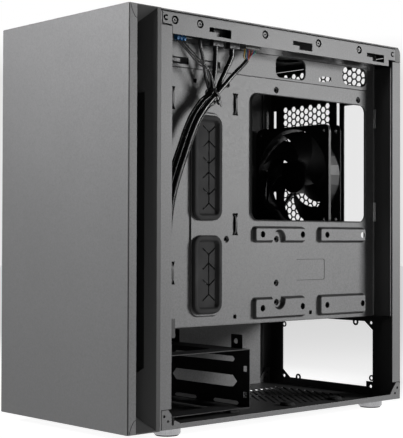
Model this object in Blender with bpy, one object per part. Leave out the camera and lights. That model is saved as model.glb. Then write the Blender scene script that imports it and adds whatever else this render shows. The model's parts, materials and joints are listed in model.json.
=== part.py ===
"""Micro-ATX mini tower case, empty, with its right side panel taken off.

Metres, +Z up. The front faces -Y and the open side faces +X. The origin is on the floor under the middle
of the case. Every sub-part is one object with its own material.
"""

import math
from collections import Counter

import bmesh
import bpy
from mathutils import Matrix, Vector
from mathutils.geometry import delaunay_2d_cdt

# Overall size
HALF_WIDTH = 0.105
HEIGHT = 0.408
FRONT = -0.2025
REAR = 0.1943
BASE = 0.010  # underside of the body, above the feet
GAP = 0.0003  # between pieces that touch

# Sheet metal
SHEET = 0.0008
CHASSIS_HALF = 0.1037
CHASSIS_FRONT = -0.1628
FLOOR_TOP = 0.0111
ROOF_TOP = 0.4062
RAIL_BOTTOM = 0.3853
RAIL_STEP = 0.3928
LIP_NOTCH = (0.0990, 0.3992)  # half its width, and its top: the cover's lip is cut away over the vent
SHROUD_TOP = 0.1040
TRAY_X = 0.0770
TRAY_RETURN_Y = 0.1770
TRAY_BOTTOM = 0.1062

# Door and bezel
DOOR_BACK = -0.1923
SKIN = 0.0010
BEZEL_FRONT = -0.1917
BEZEL_BACK = -0.1634
RECESS_BACK = -0.1680
HINGE_X = -0.1003
HINGE_Y = -0.1967
HINGE_RADIUS = 0.0046
PIN_RADIUS = 0.0015
LUG_HALF = 0.0032

# Fans
FAN_SIZE = 0.120
FAN_DEPTH = 0.0245
FAN_BORE = 0.0570
FAN_HOLE_PITCH = 0.105
REAR_FAN = (-0.0425, 0.2665)
FRONT_FAN = (0.0, 0.2900)
HUB_RADIUS = 0.0205

# Rear openings
IO_OPENING = (0.0207, 0.1899, 0.0652, 0.3487)
SLOT_PITCH = 0.02032
TOP_SLOT_Z = 0.1765
VENT_PITCH = 0.00807
VENT_ROWS = 23
WIDE_VENT_ROWS = 3  # the top rows reach over the input and output opening
VENT_SIDES = (-0.0807, -0.0033, 0.0610)
PSU_CENTRE = Vector((-0.0085, 0.05725))

# Front input/output strip
STRIP = (0.0800, -0.1400, 0.1010, -0.0180)
POWER_Y = -0.1270
RESET_Y = -0.1130
JACK_Y = -0.1020
USB_Y = (-0.0800, -0.0575)
READER_Y = -0.0330
STRIP_X = 0.0915
BOARD = (0.3880, 0.3892)
PANEL_UNDERSIDE = 0.4035
PORT_FOOT = 0.3815

COLOURS = {
    "grey_paint": ((0.19, 0.19, 0.195), 0.45, 0.3),
    "door_paint": ((0.16, 0.16, 0.165), 0.38, 0.5),
    "frame_paint": ((0.13, 0.13, 0.135), 0.45, 0.3),
    "black_plastic": ((0.018, 0.018, 0.019), 0.5, 0.0),
    "black_steel": ((0.02, 0.02, 0.022), 0.45, 0.3),
    "rubber": ((0.012, 0.012, 0.012), 0.75, 0.0),
    "foam": ((0.02, 0.02, 0.02), 0.95, 0.0),
    "chrome": ((0.75, 0.75, 0.76), 0.15, 1.0),
    "zinc": ((0.55, 0.55, 0.57), 0.3, 1.0),
    "white_plastic": ((0.75, 0.75, 0.72), 0.4, 0.0),
    "filter_cloth": ((0.03, 0.03, 0.03), 0.8, 0.0),
    "circuit_board": ((0.01, 0.03, 0.02), 0.5, 0.0),
}


# ---------------------------------------------------------------- outlines


def rectangle(left, low, right, high):
    return [(left, low), (right, low), (right, high), (left, high)]


def arc(centre, radius, start, end, steps):
    """Points along an arc, angles in degrees."""
    return [
        (
            centre[0] + radius * math.cos(math.radians(start + (end - start) * i / steps)),
            centre[1] + radius * math.sin(math.radians(start + (end - start) * i / steps)),
        )
        for i in range(steps + 1)
    ]


def circle(centre, radius, sides=16):
    return arc(centre, radius, 0, 360, sides)[:-1]


def rounded(left, low, right, high, radius, steps=3):
    corners = [(right, high, 0), (left, high, 90), (left, low, 180), (right, low, 270)]
    points = []
    for x, y, turn in corners:
        centre = (
            x - math.copysign(radius, x - (left + right) / 2),
            y - math.copysign(radius, y - (low + high) / 2),
        )
        points += arc(centre, radius, turn, turn + 90, steps)
    return points


def pointed_slot(a, b, width):
    """A narrow slot from a to b with chamfered ends."""
    a, b = Vector(a), Vector(b)
    along = (b - a).normalized()
    side = Vector((-along.y, along.x)) * width / 2
    tip = along * width / 2
    return [tuple(p) for p in (a - tip, a - side, b - side, b + tip, b + side, a + side)]


# ---------------------------------------------------------------- solids


def plate(axis, low, high, outline, holes=()):
    """A flat plate from low to high along one axis; the outline and holes are in the other two."""
    loops = [outline, *holes]
    points, rings = [], []
    for loop in loops:
        rings.append(list(range(len(points), len(points) + len(loop))))
        points += [Vector(p) for p in loop]
    inside_without_holes = 2
    flat, _, triangles, *_ = delaunay_2d_cdt(points, [], rings, inside_without_holes, 1e-7)
    place = {
        "x": lambda p, level: (level, p.x, p.y),
        "y": lambda p, level: (p.x, level, p.y),
        "z": lambda p, level: (p.x, p.y, level),
    }[axis]
    solid = bmesh.new()
    bottom = [solid.verts.new(place(p, low)) for p in flat]
    top = [solid.verts.new(place(p, high)) for p in flat]
    for face in triangles:
        solid.faces.new([bottom[i] for i in reversed(face)])
        solid.faces.new([top[i] for i in face])
    sides = Counter(
        frozenset((face[i], face[i - 1])) for face in triangles for i in range(len(face))
    )
    for a, b in (pair for pair, count in sides.items() if count == 1):
        solid.faces.new((bottom[a], bottom[b], top[b], top[a]))
    loose = [v for v in solid.verts if not v.link_faces]
    bmesh.ops.delete(solid, geom=loose, context="VERTS")
    bmesh.ops.recalc_face_normals(solid, faces=solid.faces)
    return solid


def block(x0, x1, y0, y1, z0, z1):
    return plate("z", z0, z1, rectangle(x0, y0, x1, y1))


def disc(axis, low, high, centre, radius, sides=24):
    return plate(axis, low, high, circle(centre, radius, sides))


def turned(profile, centre, sides=32):
    """A solid of revolution about a vertical axis; the profile runs up its outer side and in to the axis."""
    solid = bmesh.new()
    verts = [solid.verts.new((r, 0, z)) for r, z in profile]
    edges = [solid.edges.new(pair) for pair in zip(verts, verts[1:])]
    bmesh.ops.spin(
        solid, geom=verts + edges, cent=(0, 0, 0), axis=(0, 0, 1), angle=2 * math.pi, steps=sides
    )
    bmesh.ops.remove_doubles(solid, verts=solid.verts, dist=1e-6)
    bmesh.ops.recalc_face_normals(solid, faces=solid.faces)
    bmesh.ops.translate(solid, vec=(centre[0], centre[1], 0), verts=solid.verts)
    return solid


def material(slot):
    made = bpy.data.materials.get(slot)
    if made:
        return made
    colour, roughness, metallic = COLOURS[slot]
    made = bpy.data.materials.new(slot)
    made.use_nodes = True
    shader = made.node_tree.nodes["Principled BSDF"]
    shader.inputs["Base Color"].default_value = (*colour, 1)
    shader.inputs["Roughness"].default_value = roughness
    shader.inputs["Metallic"].default_value = metallic
    made.diffuse_color = (*colour, 1)
    return made


def as_object(name, solid, slot, smooth=False):
    mesh = bpy.data.meshes.new(name)
    solid.to_mesh(mesh)
    solid.free()
    mesh.materials.append(material(slot))
    if smooth:
        mesh.shade_smooth()
        mesh.set_sharp_from_angle(angle=math.radians(35))
    made = bpy.data.objects.new(name, mesh)
    bpy.context.scene.collection.objects.link(made)
    return made


def build(name, slot, first, add=(), cut=(), last=(), smooth=False):
    """The first solid joined with those in add, less those in cut, then joined with those in last."""
    base = as_object(name, first, slot)
    helpers = []
    for operation, solids in (("UNION", add), ("DIFFERENCE", cut), ("UNION", last)):
        for solid in solids:
            helper = as_object(f"{name}_helper", solid, slot)
            modifier = base.modifiers.new(operation, "BOOLEAN")
            modifier.operation = operation
            modifier.object = helper
            helpers.append(helper)
    bpy.context.view_layer.update()
    graph = bpy.context.evaluated_depsgraph_get()
    mesh = bpy.data.meshes.new_from_object(base.evaluated_get(graph))
    base.modifiers.clear()
    base.data = mesh
    for helper in helpers:
        bpy.data.objects.remove(helper)
    if smooth:
        mesh.shade_smooth()
        mesh.set_sharp_from_angle(angle=math.radians(35))
    return base


def about(made, origin):
    """Puts an object's own origin on its joint's axis and leaves its shape where it is."""
    made.data.transform(Matrix.Translation(-Vector(origin)))
    made.location = origin


# ---------------------------------------------------------------- chassis


def both_sides(outline, holes=()):
    """The same side flange on the left and on the right of the chassis."""
    return [
        plate("x", low, low + SHEET, outline, holes)
        for low in (CHASSIS_HALF - SHEET, -CHASSIS_HALF)
    ]


def front_chassis():
    openings = [circle((0, z), FAN_BORE, 32) for z in (FRONT_FAN[1], FRONT_FAN[1] - 0.130)]
    screw_holes = [
        circle((x, z + dz), 0.0022, 8)
        for z in (FRONT_FAN[1], FRONT_FAN[1] - 0.130)
        for x in (-FAN_HOLE_PITCH / 2, FAN_HOLE_PITCH / 2)
        for dz in (-FAN_HOLE_PITCH / 2, FAN_HOLE_PITCH / 2)
    ]
    low, high = FLOOR_TOP + GAP, RAIL_STEP - GAP
    face = plate(
        "y",
        CHASSIS_FRONT,
        CHASSIS_FRONT + SHEET,
        rectangle(-CHASSIS_HALF, low, CHASSIS_HALF, high),
        openings + screw_holes,
    )
    # The flange's foot stops above the floor's corner bracket.
    flange = [
        (CHASSIS_FRONT, low),
        (CHASSIS_FRONT + 0.0022, low),
        (CHASSIS_FRONT + 0.0022, 0.0296),
        (-0.1483, 0.0296),
        (-0.1483, high),
        (CHASSIS_FRONT, high),
    ]
    build("front_chassis_panel", "frame_paint", face, add=both_sides(flange))


def hook_slot(start):
    """An L-shaped slot in the roof rail that takes a hook of the side panel."""
    top, step, low = 0.3970, 0.3925, 0.3885
    arm, length = 0.0095, 0.0294
    return [
        (start, step),
        (start + arm, step),
        (start + arm, low),
        (start + length, low),
        (start + length, top),
        (start, top),
    ]


def roof():
    strip = rectangle(STRIP[0] - 0.001, STRIP[1] - 0.001, STRIP[2] + 0.001, STRIP[3] + 0.001)
    vents = [
        rounded(x0, y0, x0 + 0.100, y0 + 0.118, 0.020)
        for x0, y0 in ((-0.050, -0.085), (-0.050, 0.045))
    ]
    top = plate(
        "z",
        ROOF_TOP - SHEET,
        ROOF_TOP,
        rectangle(-CHASSIS_HALF, CHASSIS_FRONT, CHASSIS_HALF, 0.1845),
        [strip, *vents],
    )
    rail = [
        (CHASSIS_FRONT, RAIL_STEP),
        (-0.1478, RAIL_STEP),
        (-0.1478, RAIL_BOTTOM),
        (0.1730, RAIL_BOTTOM),
        (0.1730, RAIL_STEP),
        (0.1845, RAIL_STEP),
        (0.1845, ROOF_TOP),
        (CHASSIS_FRONT, ROOF_TOP),
    ]
    holes = [circle((y, 0.3985), 0.0024, 10) for y in (-0.1450, -0.1128, -0.0235, 0.0566, 0.1225)]
    holes += [circle((-0.1562, 0.3997), 0.0018, 8), circle((0.1800, 0.3995), 0.0020, 8)]
    holes += [hook_slot(y) for y in (-0.1007, 0.0172, 0.1355)]
    build("roof_panel", "frame_paint", top, add=both_sides(rail, holes))


def vent_slots(left, low, right, high, lean, pitch, width):
    """Parallel leaning slots that fill a rectangle, each broken by a web in the middle."""
    along = Vector((math.cos(lean), math.sin(lean)))
    across = Vector((-along.y, along.x))
    centre = Vector(((left + right) / 2, (low + high) / 2))
    half = Vector(((right - left) / 2, (high - low) / 2))
    reach = abs(across.x) * half.x + abs(across.y) * half.y
    count = int(reach / pitch)
    slots = []
    for step in range(-count, count + 1):
        offset = across * pitch * step
        spans = [
            sorted(((-half[i] - offset[i]) / along[i], (half[i] - offset[i]) / along[i]))
            for i in (0, 1)
        ]
        start, end = max(s[0] for s in spans), min(s[1] for s in spans)
        middle = (start + end) / 2
        for a, b in ((start, middle - width), (middle + width, end)):
            if b - a > 3 * width:
                slots.append(
                    pointed_slot(centre + offset + along * a, centre + offset + along * b, width)
                )
    return slots


def floor():
    slots = vent_slots(-0.0600, 0.0560, 0.0600, 0.1640, math.radians(-35), 0.0072, 0.0032)
    under = BASE + GAP
    pan = plate(
        "z", under, FLOOR_TOP, rectangle(-CHASSIS_HALF, -0.1600, CHASSIS_HALF, 0.1928), slots
    )
    # Corner brackets rise at both ends; a short riser starts the low flange between them.
    flange = [
        (-0.1600, under),
        (0.1928, under),
        (0.1928, 0.0275),
        (0.1915, 0.0290),
        (0.1865, 0.0290),
        (0.1800, 0.0215),
        (0.1760, 0.0160),
        (-0.1365, 0.0150),
        (-0.1435, 0.0184),
        (-0.1450, 0.0184),
        (-0.1450, 0.0140),
        (-0.1478, 0.0140),
        (-0.1478, 0.0240),
        (-0.1520, 0.0290),
        (-0.1600, 0.0290),
    ]
    screws = [(-0.1570, 0.0232), (-0.1522, 0.0182), (0.1885, 0.0230), (0.1845, 0.0170)]
    holes = [circle(p, 0.0014, 8) for p in screws]
    build("floor_panel", "frame_paint", pan, add=both_sides(flange, holes))


def psu_opening():
    """The power supply cut-out: the same edge twice, turned half a turn, so either way up fits."""
    w, h = 0.0720, 0.03775
    half = [(-w, -h + 0.0095), (-w + 0.0120, -h), (-0.0503, -h)]
    half += arc((-0.0461, -0.0364), 0.0042, 180, 0, 6)
    half += [(-0.0419, -h), (w - 0.0096, -h), (w - 0.0096, -h + 0.0062), (w, -h + 0.0062)]
    return [tuple(PSU_CENTRE + Vector(p)) for p in half] + [
        tuple(PSU_CENTRE - Vector(p)) for p in half
    ]


def psu_screw_holes():
    places = [(-0.0697, -0.0364), (-0.0461, -0.0362), (0.0692, -0.0372)]
    return [
        circle(PSU_CENTRE + Vector(p) * turn, 0.0019, 8) for p in places for turn in (1, -1)
    ]


def rear():
    low, high = FLOOR_TOP + GAP, 0.3908
    x, z = REAR_FAN
    left, right, far_right = VENT_SIDES
    vent = []
    for i in range(VENT_ROWS):
        foot = z - 0.0560 + VENT_PITCH * i
        wide = i >= VENT_ROWS - WIDE_VENT_ROWS
        vent.append(rectangle(left, foot, far_right if wide else right, foot + 0.0050))
    fan_slots = [
        rounded(x + side - 0.0022, start, x + side + 0.0022, start + length, 0.0021, 2)
        for side in (-FAN_HOLE_PITCH / 2, FAN_HOLE_PITCH / 2)
        for start, length in ((0.2090, 0.0410), (0.3140, 0.0425))
    ]
    slots = [
        rectangle(-0.0470, z0 - 0.0072, 0.0620, z0 + 0.0072)
        for z0 in (TOP_SLOT_Z - SLOT_PITCH * i for i in range(4))
    ]
    # The middle stands up higher, inside the top cover's lip.
    middle_top = LIP_NOTCH[1] - GAP - 0.0001
    edge = [(-CHASSIS_HALF, low), (CHASSIS_HALF, low), (CHASSIS_HALF, high), (0.0985, high)]
    edge += [(0.0985, middle_top), (-0.0985, middle_top), (-0.0985, high), (-CHASSIS_HALF, high)]
    face = plate(
        "y",
        REAR - SHEET,
        REAR,
        edge,
        vent + fan_slots + slots + [rectangle(*IO_OPENING), psu_opening()] + psu_screw_holes(),
    )
    flange = [
        (REAR - 0.0012, low),
        (REAR, low),
        (REAR, high),
        (0.1799, high),
        (0.1799, 0.0296),
        (REAR - 0.0012, 0.0296),
    ]
    build("rear_panel", "black_steel", face, add=both_sides(flange))


# Motherboard tray features, as (y, z)
CPU_CUTOUT = (-0.0170, 0.2100, 0.1650, 0.3425)
GROMMETS = {"upper_cable_grommet": (0.2090, 0.3140), "lower_cable_grommet": (0.1158, 0.1940)}
GROMMET_Y = (-0.1012, -0.0630)
DRIVE_ROWS = ((0.1865, 0.2040), (0.1068, 0.1300))
DRIVE_SPANS = ((-0.0170, 0.0626), (0.0826, 0.1628))


def tray():
    cpu = rounded(*CPU_CUTOUT[:2], *CPU_CUTOUT[2:], 0.009)
    holes = [cpu]
    for low, high in GROMMETS.values():
        holes.append(
            rounded(GROMMET_Y[0] + 0.0045, low + 0.0045, GROMMET_Y[1] - 0.0045, high - 0.0045, 0.008)
        )
    stand_offs = [(0.0189, 0.3477), (0.1509, 0.3476), (-0.0524, 0.3476), (-0.0530, 0.1901)]
    stand_offs += [(0.0194, 0.1442)]
    holes += [circle(p, 0.0016, 8) for p in stand_offs]
    squares = [(-0.0964, 0.3474), (-0.0408, 0.1112), (0.0724, 0.1112)]
    holes += [rectangle(y - 0.0020, z - 0.0020, y + 0.0020, z + 0.0020) for y, z in squares]
    # Cable tie bridges: a pair of short slots with the strip of metal between them standing proud.
    bridges = [(-0.0408, 0.3280), (-0.0408, 0.2054), (-0.1240, 0.3284), (-0.1240, 0.1572)]
    for y, z in bridges:
        holes += [
            rectangle(y - 0.0030, z + s - 0.0030, y + 0.0030, z + s + 0.0030) for s in (-0.008, 0.008)
        ]
    # Upper strip: a rounded window, a small cutout, a hexagonal window and a hook slot.
    holes.append(rounded(0.0190, 0.3630, 0.0620, 0.3835, 0.006))
    holes.append(rectangle(0.0850, 0.3630, 0.1040, 0.3685))
    holes.append(rounded(0.1245, 0.3640, 0.1650, 0.3838, 0.009, 2))
    holes.append(rectangle(-0.1300, 0.3624, -0.1063, 0.3692))
    sheet = plate(
        "x",
        TRAY_X,
        TRAY_X + SHEET,
        rectangle(-0.1615, TRAY_BOTTOM, TRAY_RETURN_Y + SHEET, ROOF_TOP - SHEET - GAP),
        holes,
    )
    back = plate(
        "y",
        TRAY_RETURN_Y,
        TRAY_RETURN_Y + SHEET,
        rectangle(TRAY_X, TRAY_BOTTOM, CHASSIS_HALF - SHEET - GAP, RAIL_BOTTOM - 0.001),
    )
    # Raised pads that carry the 2.5 inch drives, with their screw holes.
    pads = []
    for low, high in DRIVE_ROWS:
        for start, end in DRIVE_SPANS:
            pads.append(
                plate(
                    "x",
                    TRAY_X + SHEET / 2,
                    TRAY_X + 0.0030,
                    rounded(start, max(low, TRAY_BOTTOM + 0.001), end, high, 0.006),
                )
            )
    screw_cutters = [
        disc("x", TRAY_X - 0.002, TRAY_X + 0.005, (y, z), 0.0019, 8)
        for z in (0.1952, 0.1186)
        for y in (-0.0044, 0.0567, 0.0952, 0.1570)
    ]
    straps = [
        block(TRAY_X + SHEET / 2, TRAY_X + 0.0024, y - 0.0022, y + 0.0022, z - 0.0055, z + 0.0055)
        for y, z in bridges
    ]
    build("motherboard_tray", "grey_paint", sheet, add=[back, *pads, *straps], cut=screw_cutters)


def shroud():
    top = plate(
        "z",
        SHROUD_TOP - SHEET,
        SHROUD_TOP,
        rectangle(-0.0980, -0.1500, TRAY_X + 0.0004, 0.1765),
        [rounded(-0.050, -0.140, 0.060, -0.128, 0.004), rounded(0.030, 0.060, 0.064, 0.140, 0.006)],
    )
    side = rectangle(-0.1500, FLOOR_TOP + GAP, 0.1703, SHROUD_TOP)
    wall = plate("x", -0.0980, -0.0980 + SHEET, side)
    build("power_supply_shroud", "grey_paint", top, add=[wall])


def drive_cage():
    left, right = -0.0730, 0.0765
    front, back = -0.1300, -0.0177
    low, high = 0.0160, 0.0768
    wall_slots = [
        pointed_slot((left + 0.034, 0.0418), (right - 0.025, 0.0418), 0.0125),
        pointed_slot((left + 0.034, 0.0648), (right - 0.025, 0.0648), 0.0058),
        pointed_slot((left + 0.034, 0.0195), (-0.0070, 0.0195), 0.0040),
        pointed_slot((0.0235, 0.0195), (right - 0.018, 0.0195), 0.0040),
        rectangle(0.0675, 0.0528, 0.0725, 0.0588),
        rectangle(0.0675, 0.0260, 0.0725, 0.0320),
    ]
    upright = [(left, low), (right, low), (right, high)]
    for start, end in ((0.0657, 0.0488), (-0.0339, -0.0483)):
        upright += [(start, high), (start, high + 0.0140), (end, high + 0.0140), (end, high)]
    upright.append((left, high))
    tab_holes = [circle((x, 0.0838), 0.0030, 10) for x in (0.0560, -0.0430)]
    back_wall = plate("y", back - SHEET, back, upright, wall_slots + tab_holes)
    front_wall = plate("y", front, front + SHEET, rectangle(left, low, right, high), wall_slots)
    window = rounded(-0.045, -0.105, 0.050, -0.045, 0.008)
    top, bottom = (
        plate("z", level, level + SHEET, rectangle(left, front, right, back), [window])
        for level in (high - SHEET, low)
    )
    feet = [
        block(x, x + 0.012, y, y + 0.012, FLOOR_TOP + GAP, low + SHEET / 2)
        for x in (left + 0.010, right - 0.022)
        for y in (front + 0.006, back - 0.018)
    ]
    build("drive_cage", "black_steel", back_wall, add=[front_wall, top, bottom, *feet])


def slot_covers():
    """Each expansion slot's cover: a plate behind the opening, a folded tab and a rib that fills the slot."""
    back, half, thickness = REAR - SHEET - GAP, 0.0092, 0.0009
    left, right = -0.0500, 0.0650
    for i in range(4):
        z = TOP_SLOT_Z - SLOT_PITCH * i
        low, high = z - half, z + half
        cover = plate("y", back - thickness, back, rectangle(left, low, right, high))
        tab = plate("x", left, left + thickness, rectangle(REAR - 0.0120, low, back, high))
        rib = block(-0.040, 0.055, back - 0.0005, REAR + 0.0004, z - 0.0040, z + 0.0040)
        build(f"slot_cover_{i + 1}", "black_steel", cover, add=[tab, rib])


# ---------------------------------------------------------------- side panel, door and bezel


THUMBSCREWS = {"upper_panel_thumbscrew": 0.3600, "lower_panel_thumbscrew": 0.0480}
THUMBSCREW_X = -0.0960


def side_panel():
    outline = rectangle(CHASSIS_FRONT + 0.0008, BASE + 0.0006, REAR - 0.0004, ROOF_TOP)
    inside, behind = -HALF_WIDTH + SHEET, REAR + GAP + 0.0010
    sheet = plate("x", -HALF_WIDTH, inside, outline)
    # The rear edge is folded round into two ears that carry the thumbscrews.
    ears, holes = [], []
    for z in THUMBSCREWS.values():
        low, high = z - 0.0090, z + 0.0090
        ears.append(block(-HALF_WIDTH, -0.0895, REAR + GAP, behind, low, high))
        ears.append(block(-HALF_WIDTH, inside, REAR - 0.0010, behind, low, high))
        holes.append(disc("y", REAR - 0.002, REAR + 0.004, (THUMBSCREW_X, z), 0.0022, 12))
    build("left_side_panel", "door_paint", sheet, add=ears, cut=holes)
    foam = plate("x", inside + GAP, -0.1012, rounded(-0.1400, 0.0300, 0.1420, 0.3820, 0.006))
    as_object("side_panel_damping_sheet", foam, "foam")
    for name, z in THUMBSCREWS.items():
        grip = disc("y", REAR + 0.0018, REAR + 0.0072, (THUMBSCREW_X, z), 0.0060, 20)
        dome = disc("y", REAR + 0.0068, REAR + 0.0082, (THUMBSCREW_X, z), 0.0048, 20)
        shank = disc("y", REAR + 0.0003, REAR + 0.0025, (THUMBSCREW_X, z), 0.0018, 12)
        build(name, "zinc", grip, add=[dome, shank], smooth=True)


def hinge_lugs():
    """Two lugs that reach forward from the bezel and hold the door's pins."""
    lugs = []
    for low, high in ((0.3995, 0.4025), (0.0155, 0.0185)):
        outline = [(HINGE_X + LUG_HALF, RECESS_BACK), (HINGE_X - LUG_HALF, RECESS_BACK)]
        outline += arc((HINGE_X, HINGE_Y), LUG_HALF, 180, 360, 10)
        bore = circle((HINGE_X, HINGE_Y), PIN_RADIUS + GAP, 12)
        lugs.append(plate("z", low, high, outline, [bore]))
    return lugs


def side_recess(side):
    """A channel that deepens towards the front, with sloping ends: the hand hold beside the door."""
    solid = bmesh.new()
    ahead = BEZEL_FRONT - 0.002
    depth = RECESS_BACK - ahead
    outer = HALF_WIDTH + 0.001
    bottom, top = 0.0110, 0.4070
    shape = [
        (outer, RECESS_BACK + 0.001, bottom - 0.001),
        (outer, RECESS_BACK + 0.001, top + 0.001),
        (outer, ahead, bottom - 0.001),
        (outer, ahead, top + 0.001),
        (HALF_WIDTH - depth, ahead, bottom + depth),
        (HALF_WIDTH - depth, ahead, top - depth),
    ]
    for x, y, z in shape:
        solid.verts.new((side * x, y, z))
    bmesh.ops.convex_hull(solid, input=solid.verts)
    bmesh.ops.recalc_face_normals(solid, faces=solid.faces)
    return solid


def bezel():
    body = plate(
        "y",
        BEZEL_FRONT,
        BEZEL_BACK,
        rectangle(-HALF_WIDTH, BASE, HALF_WIDTH, HEIGHT),
        [rounded(-0.0700, 0.0400, 0.0700, 0.3750, 0.008)],
    )
    inlet = [
        (-0.1763, 0.0700),
        (-0.1763, 0.3280),
        (-0.1843, 0.3360),
        (-0.1890, 0.3360),
        (-0.1890, 0.0620),
        (-0.1843, 0.0620),
    ]
    cuts = [side_recess(1), side_recess(-1)]
    for start, end in ((0.0690, 0.1070), (-0.1070, -0.0690)):
        cuts.append(plate("x", start, end, inlet))
    build("front_bezel", "black_plastic", body, cut=cuts, last=hinge_lugs())


def door():
    inside = FRONT + SKIN + GAP
    hinge = (HINGE_X, HINGE_Y)
    # The frame's back corner is rounded about the hinge, so that it clears the bezel as it turns.
    outline = [(HALF_WIDTH, DOOR_BACK), (HALF_WIDTH, inside), (-HALF_WIDTH, inside)]
    outline += arc(hinge, HINGE_RADIUS, 180, 95, 6)
    frame = plate("z", BASE, HEIGHT, outline)
    cuts = [block(-0.0920, 0.0920, FRONT, 0, 0.0240, 0.3940)]
    for low, high in ((0.3985, 0.4035), (0.0145, 0.0195)):
        cuts.append(block(-0.1070, -0.0955, FRONT, 0, low, high))
    for low, high in ((0.3945, 0.4060), (0.0120, 0.0235)):
        cuts.append(disc("z", low, high, hinge, PIN_RADIUS + GAP, 12))
    build("door_frame", "frame_paint", frame, cut=cuts)
    for name, low in (("upper_hinge_pin", 0.3955), ("lower_hinge_pin", 0.0130)):
        as_object(name, disc("z", low, low + 0.0095, hinge, PIN_RADIUS, 12), "zinc", smooth=True)
    skin = plate("y", FRONT, FRONT + SKIN, rounded(-HALF_WIDTH, BASE, HALF_WIDTH, HEIGHT, 0.0012, 2))
    as_object("door_skin", skin, "door_paint")
    foam = plate("y", inside, FRONT + 0.0058, rounded(-0.0912, 0.0248, 0.0912, 0.3932, 0.004))
    as_object("door_damping_sheet", foam, "foam")
    for name in ("door_frame", "door_skin", "door_damping_sheet", "upper_hinge_pin", "lower_hinge_pin"):
        about(bpy.data.objects[name], (*hinge, (BASE + HEIGHT) / 2))


def front_filter():
    edge = plate(
        "y",
        -0.1740,
        -0.1690,
        rounded(-0.0690, 0.0410, 0.0690, 0.3740, 0.007),
        [
            rounded(-0.0620, low, 0.0620, high, 0.004)
            for low, high in ((0.0480, 0.1520), (0.1580, 0.2570), (0.2630, 0.3670))
        ],
    )
    cloth = plate("y", -0.1718, -0.1714, rectangle(-0.0650, 0.0450, 0.0650, 0.3700))
    build("front_dust_filter", "filter_cloth", edge, add=[cloth])


def bottom_filter():
    edge = plate(
        "z",
        0.0062,
        0.0092,
        rounded(-0.0615, 0.0300, 0.0615, 0.1900, 0.004),
        [rounded(-0.0555, low, 0.0555, low + 0.0700, 0.003) for low in (0.0360, 0.1120)],
    )
    cloth = plate("z", 0.0075, 0.0079, rectangle(-0.0585, 0.0330, 0.0585, 0.1860))
    pull = block(-0.0150, 0.0150, 0.1880, 0.1960, 0.0050, 0.0092)
    build("bottom_dust_filter", "filter_cloth", edge, add=[cloth, pull])


def top_cover():
    low = ROOF_TOP + GAP
    strip = rectangle(STRIP[0] - 0.0003, STRIP[1] - 0.0003, STRIP[2] + 0.0003, STRIP[3] + 0.0003)
    edge_x = 0.1039
    sheet = plate("z", low, HEIGHT, rectangle(-edge_x, BEZEL_BACK + GAP, edge_x, 0.1900), [strip])
    bend = 0.0070
    lip_low, lip_front = 0.3913, 0.1850
    outline = [(lip_front, lip_low), (REAR, lip_low)]
    outline += arc((REAR - bend, HEIGHT - bend), bend, 0, 90, 5)
    outline += [(lip_front, HEIGHT)]
    thickness = 0.0018
    inner = [(lip_front - 0.001, lip_low - 0.001), (REAR - thickness, lip_low - 0.001)]
    inner += arc((REAR - bend, HEIGHT - bend), bend - thickness, 0, 90, 5)
    inner += [(lip_front - 0.001, HEIGHT - thickness)]
    lip_x = edge_x - 0.0006
    lip = plate("x", -lip_x, lip_x, outline)
    hollow = plate("x", -lip_x + 0.0012, lip_x - 0.0012, inner)
    half, top = LIP_NOTCH
    notch = block(-half, half, lip_front - 0.001, REAR + 0.001, lip_low - 0.001, top)
    build("top_cover", "black_plastic", lip, cut=[hollow, notch], last=[sheet])


# ---------------------------------------------------------------- small hardware


def feet():
    for side, across in (("left", -0.0760), ("right", 0.0760)):
        for end, along in (("front", -0.1300), ("rear", 0.1740)):
            ring = [(0.0, 0.0014), (0.0128, 0.0014), (0.0135, 0.0026), (0.0135, 0.0086)]
            ring += [(0.0128, BASE), (0.0, BASE)]
            pad = [(0.0, 0.0), (0.0112, 0.0), (0.0118, 0.0005), (0.0118, 0.0011), (0.0, 0.0011)]
            body = turned(ring, (across, along), 24)
            as_object(f"{end}_{side}_foot_ring", body, "chrome", smooth=True)
            body = turned(pad, (across, along), 20)
            as_object(f"{end}_{side}_foot_pad", body, "rubber", smooth=True)


def psu_pads():
    low = FLOOR_TOP + GAP
    places = ((0.0635, 0.0520), (0.0660, 0.1250), (-0.0800, 0.0520), (-0.0800, 0.1250))
    rise = [(0.0, 0.0), (0.0085, 0.0), (0.0085, 0.0012), (0.0070, 0.0030), (0.0045, 0.0036), (0.0, 0.0036)]
    for i, place in enumerate(places):
        pad = turned([(radius, low + height) for radius, height in rise], place, 16)
        as_object(f"power_supply_pad_{i + 1}", pad, "rubber", smooth=True)


def grommets():
    for name, (low, high) in GROMMETS.items():
        inset = 0.0060
        y0, y1 = GROMMET_Y
        middle = (y0 + y1) / 2
        slit = 0.0006
        # A zigzag slit from end to end lets a plug through the membrane.
        teeth = 6 if high - low > 0.09 else 4
        pitch = (high - low - 2 * inset - 0.006) / teeth
        outline = []
        for side in (-1, 1):
            points = []
            for i in range(teeth + 1):
                z = low + inset + 0.003 + pitch * i
                swing = 0.004 if i % 2 else -0.004
                points.append((middle + swing + side * slit, z))
            outline += points if side == 1 else points[::-1]
        outline = outline[::-1]
        rim = plate(
            "x",
            TRAY_X + SHEET + GAP,
            TRAY_X + SHEET + 0.0030,
            rounded(y0, low, y1, high, 0.009),
            [outline],
        )
        recess = plate(
            "x",
            TRAY_X + SHEET + 0.0012,
            TRAY_X + SHEET + 0.0040,
            rounded(y0 + inset, low + inset, y1 - inset, high - inset, 0.004),
        )
        build(name, "rubber", rim, cut=[recess])


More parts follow.
